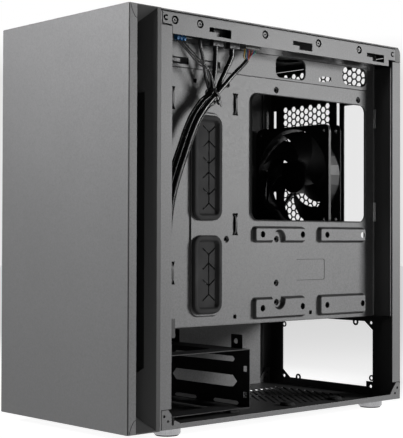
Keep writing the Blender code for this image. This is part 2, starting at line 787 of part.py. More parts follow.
def fan(prefix, centre, front):
    """A 120 mm fan: the frame with its motor spider at the back, and the rotor at the front."""
    x, z = centre
    back = front + FAN_DEPTH
    half = FAN_SIZE / 2
    sides = 32
    bolt = FAN_HOLE_PITCH / 2
    bolts = [circle((x + sx * bolt, z + sz * bolt), 0.0022, 8) for sx in (-1, 1) for sz in (-1, 1)]
    square = rounded(x - half, z - half, x + half, z + half, 0.007, 2)
    bore = circle((x, z), FAN_BORE, sides)
    flange = 0.0040
    front_flange = plate("y", front, front + flange, square, [bore, *bolts])
    back_flange = plate("y", back - flange, back, square, [bore, *bolts])
    ring = plate("y", front + flange / 2, back - flange / 2, circle((x, z), half - 0.0006, sides), [bore])
    motor = disc("y", back - 0.0045, back - 0.0005, centre, HUB_RADIUS, 20)
    arms = []
    for turn in (45, 135, 225, 315):
        arm = block(HUB_RADIUS - 0.002, FAN_BORE + 0.0008, -0.0020, 0.0020, 0.0008, 0.0038)
        spin = Matrix.Rotation(math.radians(turn), 4, "Z")
        place = Matrix.Translation((x, back, z)) @ Matrix.Rotation(math.radians(90), 4, "X")
        bmesh.ops.transform(arm, matrix=place @ spin, verts=arm.verts)
        arms.append(arm)
    rest = [back_flange, ring, motor, *arms]
    build(f"{prefix}_fan_frame", "black_plastic", front_flange, add=rest, smooth=True)

    hub_front, hub_back = front + 0.0020, back - 0.0048
    hub = disc("y", hub_front, hub_back, centre, HUB_RADIUS, 24)
    turns = [25 + 360 * i / 7 for i in range(7)]
    blades = [fan_blade(x, z, hub_front + 0.0012, hub_back - 0.0012, turn) for turn in turns]
    build(f"{prefix}_fan_rotor", "black_plastic", hub, add=blades, smooth=True)
    about(bpy.data.objects[f"{prefix}_fan_rotor"], (x, (front + back) / 2, z))


def fan_blade(x, z, front, back, turn):
    """One swept, pitched blade: a grid of points on its front face and one on its back face."""
    root, tip = HUB_RADIUS - 0.0015, FAN_BORE - 0.0015
    across, along = 3, 3
    solid = bmesh.new()
    layers = []
    for offset in (-0.0007, 0.0007):
        grid = []
        for i in range(across + 1):
            reach = i / across
            radius = root + (tip - root) * reach
            start = turn + 46 * reach
            width = 44 - 4 * reach
            row = []
            for j in range(along + 1):
                share = j / along
                angle = math.radians(start + width * share)
                depth = back - (back - front) * (0.08 + 0.84 * (share * 0.75 + share**2 * 0.25)) + offset
                place = (x + radius * math.cos(angle), depth, z + radius * math.sin(angle))
                row.append(solid.verts.new(place))
            grid.append(row)
        layers.append(grid)
    for grid in layers:
        for i in range(across):
            for j in range(along):
                solid.faces.new((grid[i][j], grid[i + 1][j], grid[i + 1][j + 1], grid[i][j + 1]))
    near, far = layers
    border = [(0, j) for j in range(along)] + [(i, along) for i in range(across)]
    border += [(across, j) for j in range(along, 0, -1)] + [(i, 0) for i in range(across, 0, -1)]
    for (a, b), (c, d) in zip(border, border[1:] + border[:1]):
        solid.faces.new((near[a][b], near[c][d], far[c][d], far[a][b]))
    bmesh.ops.triangulate(solid, faces=solid.faces)
    bmesh.ops.recalc_face_normals(solid, faces=solid.faces)
    return solid


# ---------------------------------------------------------------- input/output strip


def input_output():
    panel = rectangle(*STRIP)
    holes = [circle((STRIP_X, POWER_Y), 0.0066, 24), circle((STRIP_X, RESET_Y), 0.0029, 14)]
    holes.append(circle((STRIP_X, JACK_Y), 0.0034, 14))
    holes += [around(y, 0.0034, 0.0070) for y in USB_Y]
    holes.append(around(READER_Y, 0.0022, 0.0128))
    as_object("io_panel", plate("z", PANEL_UNDERSIDE, HEIGHT, panel, holes), "black_plastic")

    under, over = BOARD
    port_gaps = [around(y, 0.0040, 0.0076) for y in USB_Y]
    board = plate("z", under, over, rectangle(0.0822, -0.1380, 0.1012, -0.0200), port_gaps)
    # The switches and the headset jack are soldered to the board.
    inside = over - 0.0004
    soldered = [disc("z", inside, PANEL_UNDERSIDE - GAP, (STRIP_X, JACK_Y), 0.0038, 16)]
    for name, y, radius in (("power_button", POWER_Y, 0.0062), ("reset_button", RESET_Y, 0.0025)):
        # A flange under the panel keeps each button in.
        cap = disc("z", 0.3998, HEIGHT - 0.0001, (STRIP_X, y), radius, 24)
        flange = disc("z", 0.4014, PANEL_UNDERSIDE - GAP, (STRIP_X, y), radius + 0.0014, 24)
        build(name, "black_plastic", cap, add=[flange], smooth=True)
        soldered.append(plate("z", inside, 0.3962, around(y, 0.0030, 0.0030)))
        soldered.append(disc("z", 0.3955, 0.3980, (STRIP_X, y), 0.0014, 12))
    jack_bore = disc("z", 0.3920, HEIGHT, (STRIP_X, JACK_Y), 0.0018, 12)
    build("io_board", "circuit_board", board, add=soldered, cut=[jack_bore])

    for name, y in zip(("usb_port_front", "usb_port_rear"), USB_Y):
        shell = plate("z", PORT_FOOT, 0.4060, around(y, 0.0031, 0.0067))
        mouth = plate("z", 0.3960, HEIGHT, around(y, 0.0026, 0.0062))
        build(name, "zinc", shell, cut=[mouth])
    reader = plate("z", over + GAP, PANEL_UNDERSIDE - GAP, around(READER_Y, 0.0050, 0.0135))
    mouth = plate("z", 0.3920, HEIGHT, around(READER_Y, 0.0014, 0.0122))
    build("card_reader", "zinc", reader, cut=[mouth])
    as_object("media_plug", block(0.0885, 0.0945, -0.0425, -0.0230, 0.3835, under - GAP), "white_plastic")


def around(y, half_x, half_y):
    """A rectangle about a place on the strip's middle line."""
    return rectangle(STRIP_X - half_x, y - half_y, STRIP_X + half_x, y + half_y)


# ---------------------------------------------------------------- leads

TIE = Vector((0.0920, -0.0880, 0.3345))
BUNDLE = [
    (0.0920, -0.0995, 0.3240),
    (0.0920, -0.1105, 0.3110),
    (0.0920, -0.1190, 0.2960),
    (0.0920, -0.1265, 0.2790),
    (0.0920, -0.1370, 0.2540),
    (0.0920, -0.1447, 0.2310),
    (0.0920, -0.1490, 0.2080),
    (0.0920, -0.1503, 0.1820),
    (0.0920, -0.1505, 0.1500),
    (0.0920, -0.1505, 0.1150),
]
# Where each lead starts, its place in the bundle (towards the rear, towards the open side), and its size.
LEADS = {
    "usb_cable_front": {
        "start": [
            (0.0915, -0.0815, 0.3810),
            (0.0915, -0.0815, 0.3730),
            (0.0917, -0.0824, 0.3600),
            (0.0918, -0.0845, 0.3470),
        ],
        "place": (0.0, 0.0),
        "radius": 0.0026,
        "end": 0.0900,
    },
    "usb_cable_rear": {
        "start": [
            (0.0915, -0.0590, 0.3806),
            (0.0915, -0.0590, 0.3740),
            (0.0917, -0.0665, 0.3610),
            (0.0920, -0.0755, 0.3460),
        ],
        "place": (0.0059, 0.0),
        "radius": 0.0026,
        "end": 0.0900,
    },
    "media_cable": {
        "start": [
            (0.0915, -0.0330, 0.3823),
            (0.0915, -0.0330, 0.3780),
            (0.0930, -0.0440, 0.3670),
            (0.0960, -0.0630, 0.3530),
        ],
        "place": (0.0032, 0.0052),
        "radius": 0.0023,
        "end": 0.1150,
    },
    "audio_cable": {
        "start": [
            (0.0915, -0.1020, 0.3876),
            (0.0915, -0.1015, 0.3800),
            (0.0896, -0.0965, 0.3680),
            (0.0878, -0.0915, 0.3530),
        ],
        "place": (0.0030, -0.0044),
        "radius": 0.0017,
        "end": 0.1150,
    },
    "switch_lead": {
        "start": [
            (0.0915, -0.1240, 0.3876),
            (0.0930, -0.1200, 0.3775),
            (0.0950, -0.1070, 0.3672),
            (0.0962, -0.0935, 0.3550),
        ],
        "place": (-0.0014, 0.0040),
        "radius": 0.0008,
        "end": 0.1300,
    },
}


def smooth_route(points, spacing):
    """Evenly spaced points on a Catmull-Rom curve through the route's points."""
    points = [Vector(p) for p in points]
    ends = [points[0] * 2 - points[1], *points, points[-1] * 2 - points[-2]]
    fine = []
    for a, b, c, d in zip(ends, ends[1:], ends[2:], ends[3:]):
        bend, twist = 2 * a - 5 * b + 4 * c - d, 3 * b - a - 3 * c + d
        for step in range(24):
            t = step / 24
            fine.append(0.5 * (2 * b + (c - a) * t + bend * t**2 + twist * t**3))
    fine.append(points[-1])
    length = sum((b - a).length for a, b in zip(fine, fine[1:]))
    count = max(2, round(length / spacing))
    chosen, run, wanted = [fine[0]], 0.0, length / count
    for a, b in zip(fine, fine[1:]):
        step = (b - a).length
        while run + step >= wanted * len(chosen) - 1e-9 and len(chosen) < count:
            chosen.append(a.lerp(b, (wanted * len(chosen) - run) / step))
        run += step
    return [*chosen, fine[-1]]


def lead_route(lead):
    """From the connector to its own place in the bundle, then along with the others."""
    rear, out = lead["place"]
    route = list(lead["start"])
    centres = [TIE, *(Vector(p) for p in BUNDLE)]
    for before, here, after in zip([TIE, *centres], centres, [*centres[1:], centres[-1]]):
        along = (after - before).normalized()
        across = Vector((0, -along.z, along.y))
        route.append(here + across * rear + Vector((out, 0, 0)))
    route[-1].z = lead["end"] + 0.020
    route.append(Vector((route[-1].x, route[-1].y, lead["end"])))
    return route


def leads():
    for name, lead in LEADS.items():
        curve = bpy.data.curves.new(name, "CURVE")
        curve.dimensions = "3D"
        curve.bevel_depth = lead["radius"]
        curve.bevel_resolution = 2
        curve.use_fill_caps = True
        points = smooth_route(lead_route(lead), lead["radius"] * 6)
        spline = curve.splines.new("POLY")
        spline.points.add(len(points) - 1)
        for place, point in zip(spline.points, points):
            place.co = (*point, 1)
        curve.materials.append(material("rubber"))
        bpy.context.scene.collection.objects.link(bpy.data.objects.new(name, curve))


def header_plugs():
    """The far ends of the leads, parked at the foot of the cable space."""
    foot_of = {name: lead["end"] for name, lead in LEADS.items()}
    plugs = {
        "usb_header_plug": (0.0880, 0.0962, -0.1540, -0.1412, 0.0720, foot_of["usb_cable_front"]),
        "media_header_plug": (0.0949, 0.1007, -0.1540, -0.1412, 0.0960, foot_of["media_cable"]),
        "audio_header_plug": (0.0832, 0.0890, -0.1515, -0.1439, 0.0960, foot_of["audio_cable"]),
        "switch_header_plug": (0.0950, 0.1000, -0.1590, -0.1503, 0.1180, foot_of["switch_lead"]),
    }
    for name, (x0, x1, y0, y1, low, high) in plugs.items():
        as_object(name, block(x0, x1, y0, y1, low, high - GAP), "black_plastic")


def cable_tie():
    """A round strap drawn tight round the bundle."""
    along = (Vector(BUNDLE[0]) - TIE).normalized()
    across, outward = Vector((0, -along.z, along.y)), Vector((1, 0, 0))
    centre = TIE + across * 0.0029 + outward * 0.0009
    radius, thickness = 0.0078, 0.0009
    half_width, sides = 0.0013, 20
    strap = bmesh.new()

    def ring(grow, shift):
        return [
            strap.verts.new(
                centre
                + across * (radius + grow) * math.cos(2 * math.pi * i / sides)
                + outward * (radius + grow) * math.sin(2 * math.pi * i / sides)
                + along * shift
            )
            for i in range(sides)
        ]

    rings = [ring(0, -half_width), ring(thickness, -half_width)]
    rings += [ring(thickness, half_width), ring(0, half_width)]
    for a, b in zip(rings, rings[1:] + rings[:1]):
        for i in range(sides):
            strap.faces.new((a[i], a[i - 1], b[i - 1], b[i]))
    bmesh.ops.recalc_face_normals(strap, faces=strap.faces)
    as_object("cable_tie", strap, "black_plastic")


def main():
    for old in list(bpy.data.objects):
        bpy.data.objects.remove(old)
    front_chassis()
    roof()
    floor()
    rear()
    tray()
    shroud()
    drive_cage()
    slot_covers()
    side_panel()
    bezel()
    door()
    front_filter()
    bottom_filter()
    top_cover()
    feet()
    psu_pads()
    grommets()
    fan("rear", REAR_FAN, REAR - SHEET - GAP - FAN_DEPTH)
    fan("front", FRONT_FAN, CHASSIS_FRONT + SHEET + GAP)
    input_output()
    leads()
    header_plugs()
    cable_tie()


main()
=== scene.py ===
"""The looks of a micro-ATX mini tower case, its right side panel off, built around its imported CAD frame."""

import json
import math

import bmesh
import bpy
import numpy as np
from mathutils import Matrix, Vector
from mathutils.geometry import delaunay_2d_cdt


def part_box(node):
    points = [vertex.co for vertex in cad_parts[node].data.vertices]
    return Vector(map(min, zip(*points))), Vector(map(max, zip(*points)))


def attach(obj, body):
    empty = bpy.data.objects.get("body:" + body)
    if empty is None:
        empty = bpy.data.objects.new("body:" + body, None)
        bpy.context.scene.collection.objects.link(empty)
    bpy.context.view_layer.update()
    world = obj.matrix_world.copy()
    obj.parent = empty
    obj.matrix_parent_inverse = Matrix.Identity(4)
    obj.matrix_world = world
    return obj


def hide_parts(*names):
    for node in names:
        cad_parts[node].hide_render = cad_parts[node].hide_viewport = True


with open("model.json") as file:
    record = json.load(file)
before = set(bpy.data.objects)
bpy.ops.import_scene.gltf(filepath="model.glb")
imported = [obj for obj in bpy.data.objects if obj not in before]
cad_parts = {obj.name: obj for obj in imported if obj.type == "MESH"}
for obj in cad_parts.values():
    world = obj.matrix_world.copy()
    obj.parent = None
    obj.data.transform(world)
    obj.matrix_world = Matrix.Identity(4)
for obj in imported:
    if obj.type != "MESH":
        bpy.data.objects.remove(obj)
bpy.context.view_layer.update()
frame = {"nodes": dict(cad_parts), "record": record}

NODES = frame["nodes"]
BODY_OF = {node: body for body, nodes in frame["record"]["behaviour"]["bodies"].items() for node in nodes}
CHASSIS = BODY_OF["rear_panel"]
GROMMETS = ("upper_cable_grommet", "lower_cable_grommet")
SLOT_OF = {part["node"]: part["material_slot"] for part in frame["record"]["subparts"]}

# Places that the CAD boxes give
OUTER_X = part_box("rear_panel")[1].x
REAR_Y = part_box("rear_panel")[1].y
ROOF_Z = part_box("roof_panel")[1].z
RAIL_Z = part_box("roof_panel")[0].z
TRAY_LOW, TRAY_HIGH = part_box("motherboard_tray")
SHEET = 0.0008  # thickness of the steel
TRAY_FACE = TRAY_LOW.x + SHEET


def in_scene(name, data):
    made = bpy.data.objects.new(name, data)
    bpy.context.scene.collection.objects.link(made)
    return made


# ---- camera and cords


CAMERA_PLACE = (0.9733, -0.8971, 0.1905)
YAW, PITCH, ROLL = 0.8355, 0.0163, 0.0029
FOCAL_LENGTH, FILM_WIDTH = 99.65, 36


def camera():
    ahead = Vector((-math.sin(YAW) * math.cos(PITCH), math.cos(YAW) * math.cos(PITCH), math.sin(PITCH)))
    right = Vector((math.cos(YAW), math.sin(YAW), 0))
    up = right.cross(ahead)
    right, up = (
        right * math.cos(ROLL) + up * math.sin(ROLL),
        up * math.cos(ROLL) - right * math.sin(ROLL),
    )
    lens = bpy.data.cameras.new("camera")
    lens.lens = FOCAL_LENGTH
    lens.sensor_width = FILM_WIDTH
    made = in_scene("camera", lens)
    turn = Matrix((right, up, -ahead)).transposed().to_4x4()
    made.matrix_world = Matrix.Translation(CAMERA_PLACE) @ turn
    bpy.context.scene.camera = made


BUNDLE_X = 0.092
TIE = Vector((BUNDLE_X, -0.088, 0.3345))
BELOW_TIE = [  # the middle of the bundle, as (y, z)
    (-0.0995, 0.324), (-0.1105, 0.311), (-0.119, 0.296), (-0.1265, 0.279), (-0.137, 0.254),
    (-0.1447, 0.231), (-0.149, 0.208), (-0.1503, 0.182), (-0.1505, 0.15), (-0.1505, 0.115),
]
BUNDLE = [TIE, *(Vector((BUNDLE_X, y, z)) for y, z in BELOW_TIE)]
STRAIGHT_END = 0.02
# Points at each lead's start, its place in the bundle (towards the rear, towards the open side), its radius,
# the height it ends at, and the CAD pieces that it carries
LEADS = {
    "usb_cable_front": (
        [
            (0.0915, -0.0815, 0.381), (0.0915, -0.0815, 0.373), (0.0917, -0.0824, 0.36),
            (0.0918, -0.0845, 0.347),
        ],
        (0.0, 0.0), 0.0026, 0.09, ["usb_header_plug", "cable_tie"],
    ),
    "usb_cable_rear": (
        [
            (0.0915, -0.059, 0.3806), (0.0915, -0.059, 0.374), (0.0917, -0.0665, 0.361),
            (0.092, -0.0755, 0.346),
        ],
        (0.0059, 0.0), 0.0026, 0.09, ["usb_header_plug"],
    ),
    "media_cable": (
        [
            (0.0918, -0.0385, 0.3715), (0.093, -0.044, 0.367), (0.096, -0.063, 0.353),
        ],
        (0.0032, 0.0052), 0.0023, 0.115, ["media_header_plug", "media_plug"],
    ),
    "audio_cable": (
        [
            (0.0915, -0.102, 0.3876), (0.0915, -0.1015, 0.38), (0.0896, -0.0965, 0.368),
            (0.0878, -0.0915, 0.353),
        ],
        (0.003, -0.0044), 0.0017, 0.115, ["audio_header_plug"],
    ),
    "switch_lead": (
        [
            (0.0915, -0.124, 0.3826), (0.093, -0.12, 0.3775), (0.095, -0.107, 0.3672),
            (0.0962, -0.0935, 0.355),
        ],
        (-0.0014, 0.004), 0.0008, 0.13, ["switch_header_plug"],
    ),
}


def smooth_route(points, spacing):
    """Evenly spaced points on a Catmull-Rom curve through the route's points."""
    points = [Vector(p) for p in points]
    ends = [points[0] * 2 - points[1], *points, points[-1] * 2 - points[-2]]
    fine = []
    for a, b, c, d in zip(ends, ends[1:], ends[2:], ends[3:]):
        bend, twist = 2 * a - 5 * b + 4 * c - d, 3 * b - a - 3 * c + d
        for step in range(24):
            t = step / 24
            fine.append(0.5 * (2 * b + (c - a) * t + bend * t**2 + twist * t**3))
    fine.append(points[-1])
    length = sum((b - a).length for a, b in zip(fine, fine[1:]))
    count = max(2, round(length / spacing))
    chosen, run, wanted = [fine[0]], 0.0, length / count
    for a, b in zip(fine, fine[1:]):
        step = (b - a).length
        while run + step >= wanted * len(chosen) - 1e-9 and len(chosen) < count:
            chosen.append(a.lerp(b, (wanted * len(chosen) - run) / step))
        run += step
    return [*chosen, fine[-1]]


def lead_route(start, place, end):
    """From the connector to its own place in the bundle, then along with the others."""
    rear, out = place
    route = list(start)
    for before, here, after in zip([TIE, *BUNDLE], BUNDLE, [*BUNDLE[1:], BUNDLE[-1]]):
        along = (after - before).normalized()
        across = Vector((0, -along.z, along.y))
        route.append(here + across * rear + Vector((out, 0, 0)))
    route[-1].z = end + STRAIGHT_END
    route.append(Vector((route[-1].x, route[-1].y, end)))
    return route


def tube(name, points, radius, finish, resolution=3):
    curve = bpy.data.curves.new(name, "CURVE")
    curve.dimensions = "3D"
    curve.bevel_depth = radius
    curve.bevel_resolution = resolution
    curve.use_fill_caps = True
    spline = curve.splines.new("POLY")
    spline.points.add(len(points) - 1)
    for place, point in zip(spline.points, points):
        place.co = (*point, 1)
    spline.use_smooth = True
    curve.materials.append(material(finish))
    return in_scene(name, curve)


def sheath(name, start, place, radius, end):
    """A lead's outside, and the points that it runs through."""
    points = smooth_route(lead_route(start, place, end), radius * 3)
    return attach(tube(name, points, radius, "cable_sheath"), CHASSIS), points


# The second and third switch leads: the place in the bundle, and where they start along the board
MORE_SWITCH_LEADS = (((0.0076, 0.0036), -0.1287), ((-0.0032, -0.0014), -0.1318))


def cords():
    for name, (start, place, radius, end, pieces) in LEADS.items():
        piece, points = sheath(name + "_sheath", start, place, radius, end)
        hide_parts(name)
        extras = [NODES[n] for n in pieces]
        if name == "media_cable":
            extras += media_wires(points[0])
        if name == "switch_lead":
            extras += switch_plugs()
        if name == "usb_cable_front":
            extras.append(tie_head())
    first, _, radius, end, pieces = LEADS["switch_lead"]
    for i, (place, start_y) in enumerate(MORE_SWITCH_LEADS):
        start = [Vector(p) for p in first]
        start[0].y = start_y
        start[1].y -= 0.002 + 0.0012 * i
        start[1].z -= 0.0012 * (i + 1)
        start[2].z -= 0.003 * (i + 1)
        piece, points = sheath(f"switch_lead_{i + 2}", start, place, radius, end)


WIRE_RADIUS = 0.0006
WIRES = [  # name, colour, y of its pin in the white plug
    ("yellow", (0.55, 0.33, 0.03), -0.041),
    ("teal", (0.03, 0.18, 0.24), -0.0388),
    ("purple", (0.12, 0.06, 0.22), -0.0366),
    ("orange", (0.62, 0.13, 0.03), -0.0344),
    ("black", (0.015, 0.015, 0.016), -0.0322),
    ("red", (0.45, 0.04, 0.03), -0.03),
    ("blue", (0.03, 0.12, 0.3), -0.0278),
    ("green", (0.04, 0.3, 0.14), -0.0256),
]


def media_wires(mouth):
    """The coloured wires between the white plug and the sheath's mouth."""
    made = []
    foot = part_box("media_plug")[0].z
    for i, (word, _, y) in enumerate(WIRES):
        angle = 2 * math.pi * i / len(WIRES)
        end = mouth + Vector((math.sin(angle) * 0.0013, 0.0004, math.cos(angle) * 0.0013))
        top = Vector((0.0915, y, foot))
        swell = Vector((0.003, -0.0055 + 0.0008 * i, -0.004))
        middle = top.lerp(end, 0.5) + swell * (1 - i / 10)
        points = smooth_route([top, top - Vector((0, 0, 0.0022)), middle, end], 0.001)
        wire = tube(f"media_wire_{word}", points, WIRE_RADIUS, f"wire_{word}", 2)
        made.append(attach(wire, CHASSIS))
    return made


def tie_head():
    """The cable tie's locking head and its cut tail, on the strap's rear side."""
    along = (BUNDLE[1] - TIE).normalized()
    across = Vector((0, -along.z, along.y))
    turn = Matrix((Vector((1, 0, 0)), across, along)).transposed()
    solid = bmesh.new()
    for size, shift in (((0.0034, 0.004, 0.0042), 0.0098), ((0.0011, 0.006, 0.0024), 0.012)):
        box(solid, size, (0.0036, shift, 0))
    bmesh.ops.transform(solid, matrix=turn.to_4x4(), verts=solid.verts)
    bmesh.ops.translate(solid, vec=TIE + across * 0.0018, verts=solid.verts)
    return bevel(mesh_object("cable_tie_head", solid, "black_plastic", CHASSIS), 0.0004)


def switch_plugs():
    """Three small blue plugs on the board's pins, each tilted a little less, with a ridge for the finger."""
    made = []
    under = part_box("io_board")[0].z
    for i, y in enumerate((-0.124, -0.1283, -0.1326)):
        body = bmesh.new()
        box(body, (0.005, 0.0021, 0.0056), (0, 0, 0))
        box(body, (0.001, 0.003, 0.0034), (0.0025, 0, 0))
        bmesh.ops.rotate(body, matrix=Matrix.Rotation(0.22 - 0.1 * i, 3, "X"), verts=body.verts)
        bmesh.ops.translate(body, vec=(0.0915, y, under - 0.0028), verts=body.verts)
        plug = mesh_object(f"switch_plug_{i + 1}", body, "blue_plastic", CHASSIS)
        made.append(bevel(plug, 0.0003))
    return made


# ---- materials


def feed(tree, node, inputs):
    """Sets a node's inputs, by a link where the value is another node's output."""
    for key, value in inputs.items():
        if isinstance(value, bpy.types.NodeSocket):
            tree.links.new(value, node.inputs[key])
        else:
            node.inputs[key].default_value = value


def add(tree, kind, inputs=(), **values):
    node = tree.nodes.new("ShaderNode" + kind)
    for key, value in values.items():
        setattr(node, key, value)
    feed(tree, node, dict(inputs))
    return node


def place_of(tree):
    return add(tree, "TexCoord").outputs["Object"]


def noise(tree, place, scale, detail=3.0, roughness=0.6):
    values = {"Vector": place, "Scale": scale, "Detail": detail, "Roughness": roughness}
    return add(tree, "TexNoise", values).outputs["Fac"]


def spread(tree, value, low, high, span=(0.3, 0.7)):
    """Maps a texture's middle range onto low to high."""
    values = {"Value": value, "From Min": span[0], "From Max": span[1], "To Min": low, "To Max": high}
    return add(tree, "MapRange", values).outputs["Result"]


def tinted(tree, colour, factor):
    """The colour, made lighter or darker by a factor that varies over the surface."""
    values = {0: colour, "Scale": factor}
    return add(tree, "VectorMath", values, operation="SCALE").outputs["Vector"]


def maths(tree, operation, *values):
    return add(tree, "Math", dict(enumerate(values)), operation=operation).outputs["Value"]


def times(tree, a, b):
    return maths(tree, "MULTIPLY", a, b)


def axis_of(tree, vector, axis):
    return add(tree, "SeparateXYZ", {0: vector}).outputs[axis]


def facing(tree, axis):
    """How far the surface faces along an axis of the case, from -1 to 1."""
    return axis_of(tree, add(tree, "NewGeometry").outputs["True Normal"], axis)


def bump(tree, height, strength, distance):
    values = {"Height": height, "Strength": strength, "Distance": distance}
    return add(tree, "Bump", values).outputs["Normal"]


def painted_shade_inside(tree):
    """Painted shade: faces that look towards the middle of the case are painted black, and faces that look
    away keep the colour.
    """
    sign = maths(tree, "SIGN", axis_of(tree, place_of(tree), "X"))
    return spread(tree, times(tree, facing(tree, "X"), sign), 0.06, 1.0, (0.55, 0.92))


def painted_shade_by_facing(low, high, span=(0.55, 0.92)):
    """Painted shade: the colour is scaled by low on surfaces that face the front, back, top or bottom, and by
    high on the sides, so walls and slopes are painted darker or lighter by the way they face.
    """
    return lambda tree: spread(tree, maths(tree, "ABSOLUTE", facing(tree, "X")), low, high, span)


def painted_shade_inner_face(tree):
    """Painted shade: the left panel's inner face is painted black, and the outer one takes the colour."""
    return spread(tree, facing(tree, "X"), 1.0, 0.02, (-0.3, 0.3))


def powder_coat(
    tree, colour, roughness, grain=0.16, mottle=0.05, metallic=0.0, scale=850, rise=0.35, shade=None
):
    """Textured paint: a fine grain that varies colour, gloss and height, over slow cloudy variation."""
    place = place_of(tree)
    fine = noise(tree, place, scale, 3.0, 0.65)
    cloudy = noise(tree, place, 14, 2.0, 0.5)
    factor = times(
        tree,
        spread(tree, fine, 1 - grain, 1 + grain, (0.25, 0.75)),
        spread(tree, cloudy, 1 - mottle, 1 + mottle),
    )
    return {
        "Base Color": tinted(tree, colour, times(tree, factor, shade(tree)) if shade else factor),
        "Roughness": spread(tree, fine, roughness - 0.06, roughness + 0.08),
        "Normal": bump(tree, fine, rise, 0.00025),
        "Metallic": metallic,
    }


def moulded(tree, colour, roughness, scale=1600, rise=0.2, vary=0.1):
    """Moulded plastic or rubber: spark-eroded grain, and a little variation in gloss."""
    place = place_of(tree)
    grain = add(tree, "TexVoronoi", {"Vector": place, "Scale": scale}).outputs["Distance"]
    slow = noise(tree, place, 45, 3.0, 0.55)
    return {
        "Base Color": tinted(tree, colour, spread(tree, slow, 1 - vary, 1 + vary)),
        "Roughness": spread(tree, slow, roughness - 0.05, roughness + 0.07),
        "Normal": bump(tree, grain, rise, 0.00012),
    }


def bezel_moulding(tree, colour, roughness):
    """Dark grey moulding, with painted shade: the slopes of the side recesses, which face forwards and
    outwards, are painted black.
    """
    fine = noise(tree, place_of(tree), 1100)
    slope = maths(tree, "ABSOLUTE", times(tree, facing(tree, "X"), facing(tree, "Y")))
    shade = spread(tree, slope, 0.05, 0.01, (0.3, 0.4))
    return {
        "Base Color": tinted(tree, colour, times(tree, shade, spread(tree, fine, 0.85, 1.15))),
        "Roughness": spread(tree, fine, roughness, roughness + 0.13),
        "Normal": bump(tree, fine, 0.2, 0.0002),
    }


def plated(tree, colour, roughness, stretch=(900, 900, 60), rise=0.08):
    """Bright metal with fine machining lines."""
    place = place_of(tree)
    lines = add(tree, "Mapping", {"Vector": place, "Scale": stretch}).outputs["Vector"]
    streak = noise(tree, lines, 1.0, 3.0, 0.6)
    cloudy = noise(tree, place, 60, 3.0, 0.6)
    return {
        "Base Color": tinted(tree, colour, spread(tree, cloudy, 0.92, 1.06)),
        "Roughness": spread(tree, streak, roughness * 0.75, roughness * 1.3),
        "Normal": bump(tree, streak, rise, 0.0001),
        "Metallic": 1.0,
    }


def woven(tree, colour, roughness, pitch, rise=0.7, sheen=0.15):
    """A plain weave or mesh: crossed sets of threads, one along each axis."""
    place = place_of(tree)
    values = {"Vector": place, "Scale": 1 / pitch / 3.1, "Distortion": 0.6, "Detail": 1.0}
    x, y, z = (add(tree, "TexWave", values, bands_direction=d).outputs["Fac"] for d in "XYZ")
    height = maths(tree, "MAXIMUM", maths(tree, "MAXIMUM", x, y), z)
    cloudy = spread(tree, noise(tree, place, 120), 0.85, 1.15)
    factor = times(tree, spread(tree, height, 0.55, 1.3, (0.0, 1.0)), cloudy)
    return {
        "Base Color": tinted(tree, colour, factor),
        "Normal": bump(tree, height, rise, pitch * 0.3),
        "Roughness": roughness,
        "Sheen Weight": sheen,
        "Specular IOR Level": 0.1,
    }


def pale_floor(tree, colour, roughness):
    """Glows nearly white near the case and dimmer behind it, a painted shade of the floor further back."""
    along = axis_of(tree, place_of(tree), "Y")
    return {
        "Base Color": colour,
        "Roughness": roughness,
        "Specular IOR Level": 0.0,
        "Emission Color": (1, 1, 1, 1),
        "Emission Strength": spread(tree, along, 0.92, 0.66, (0.15, 0.45)),
    }


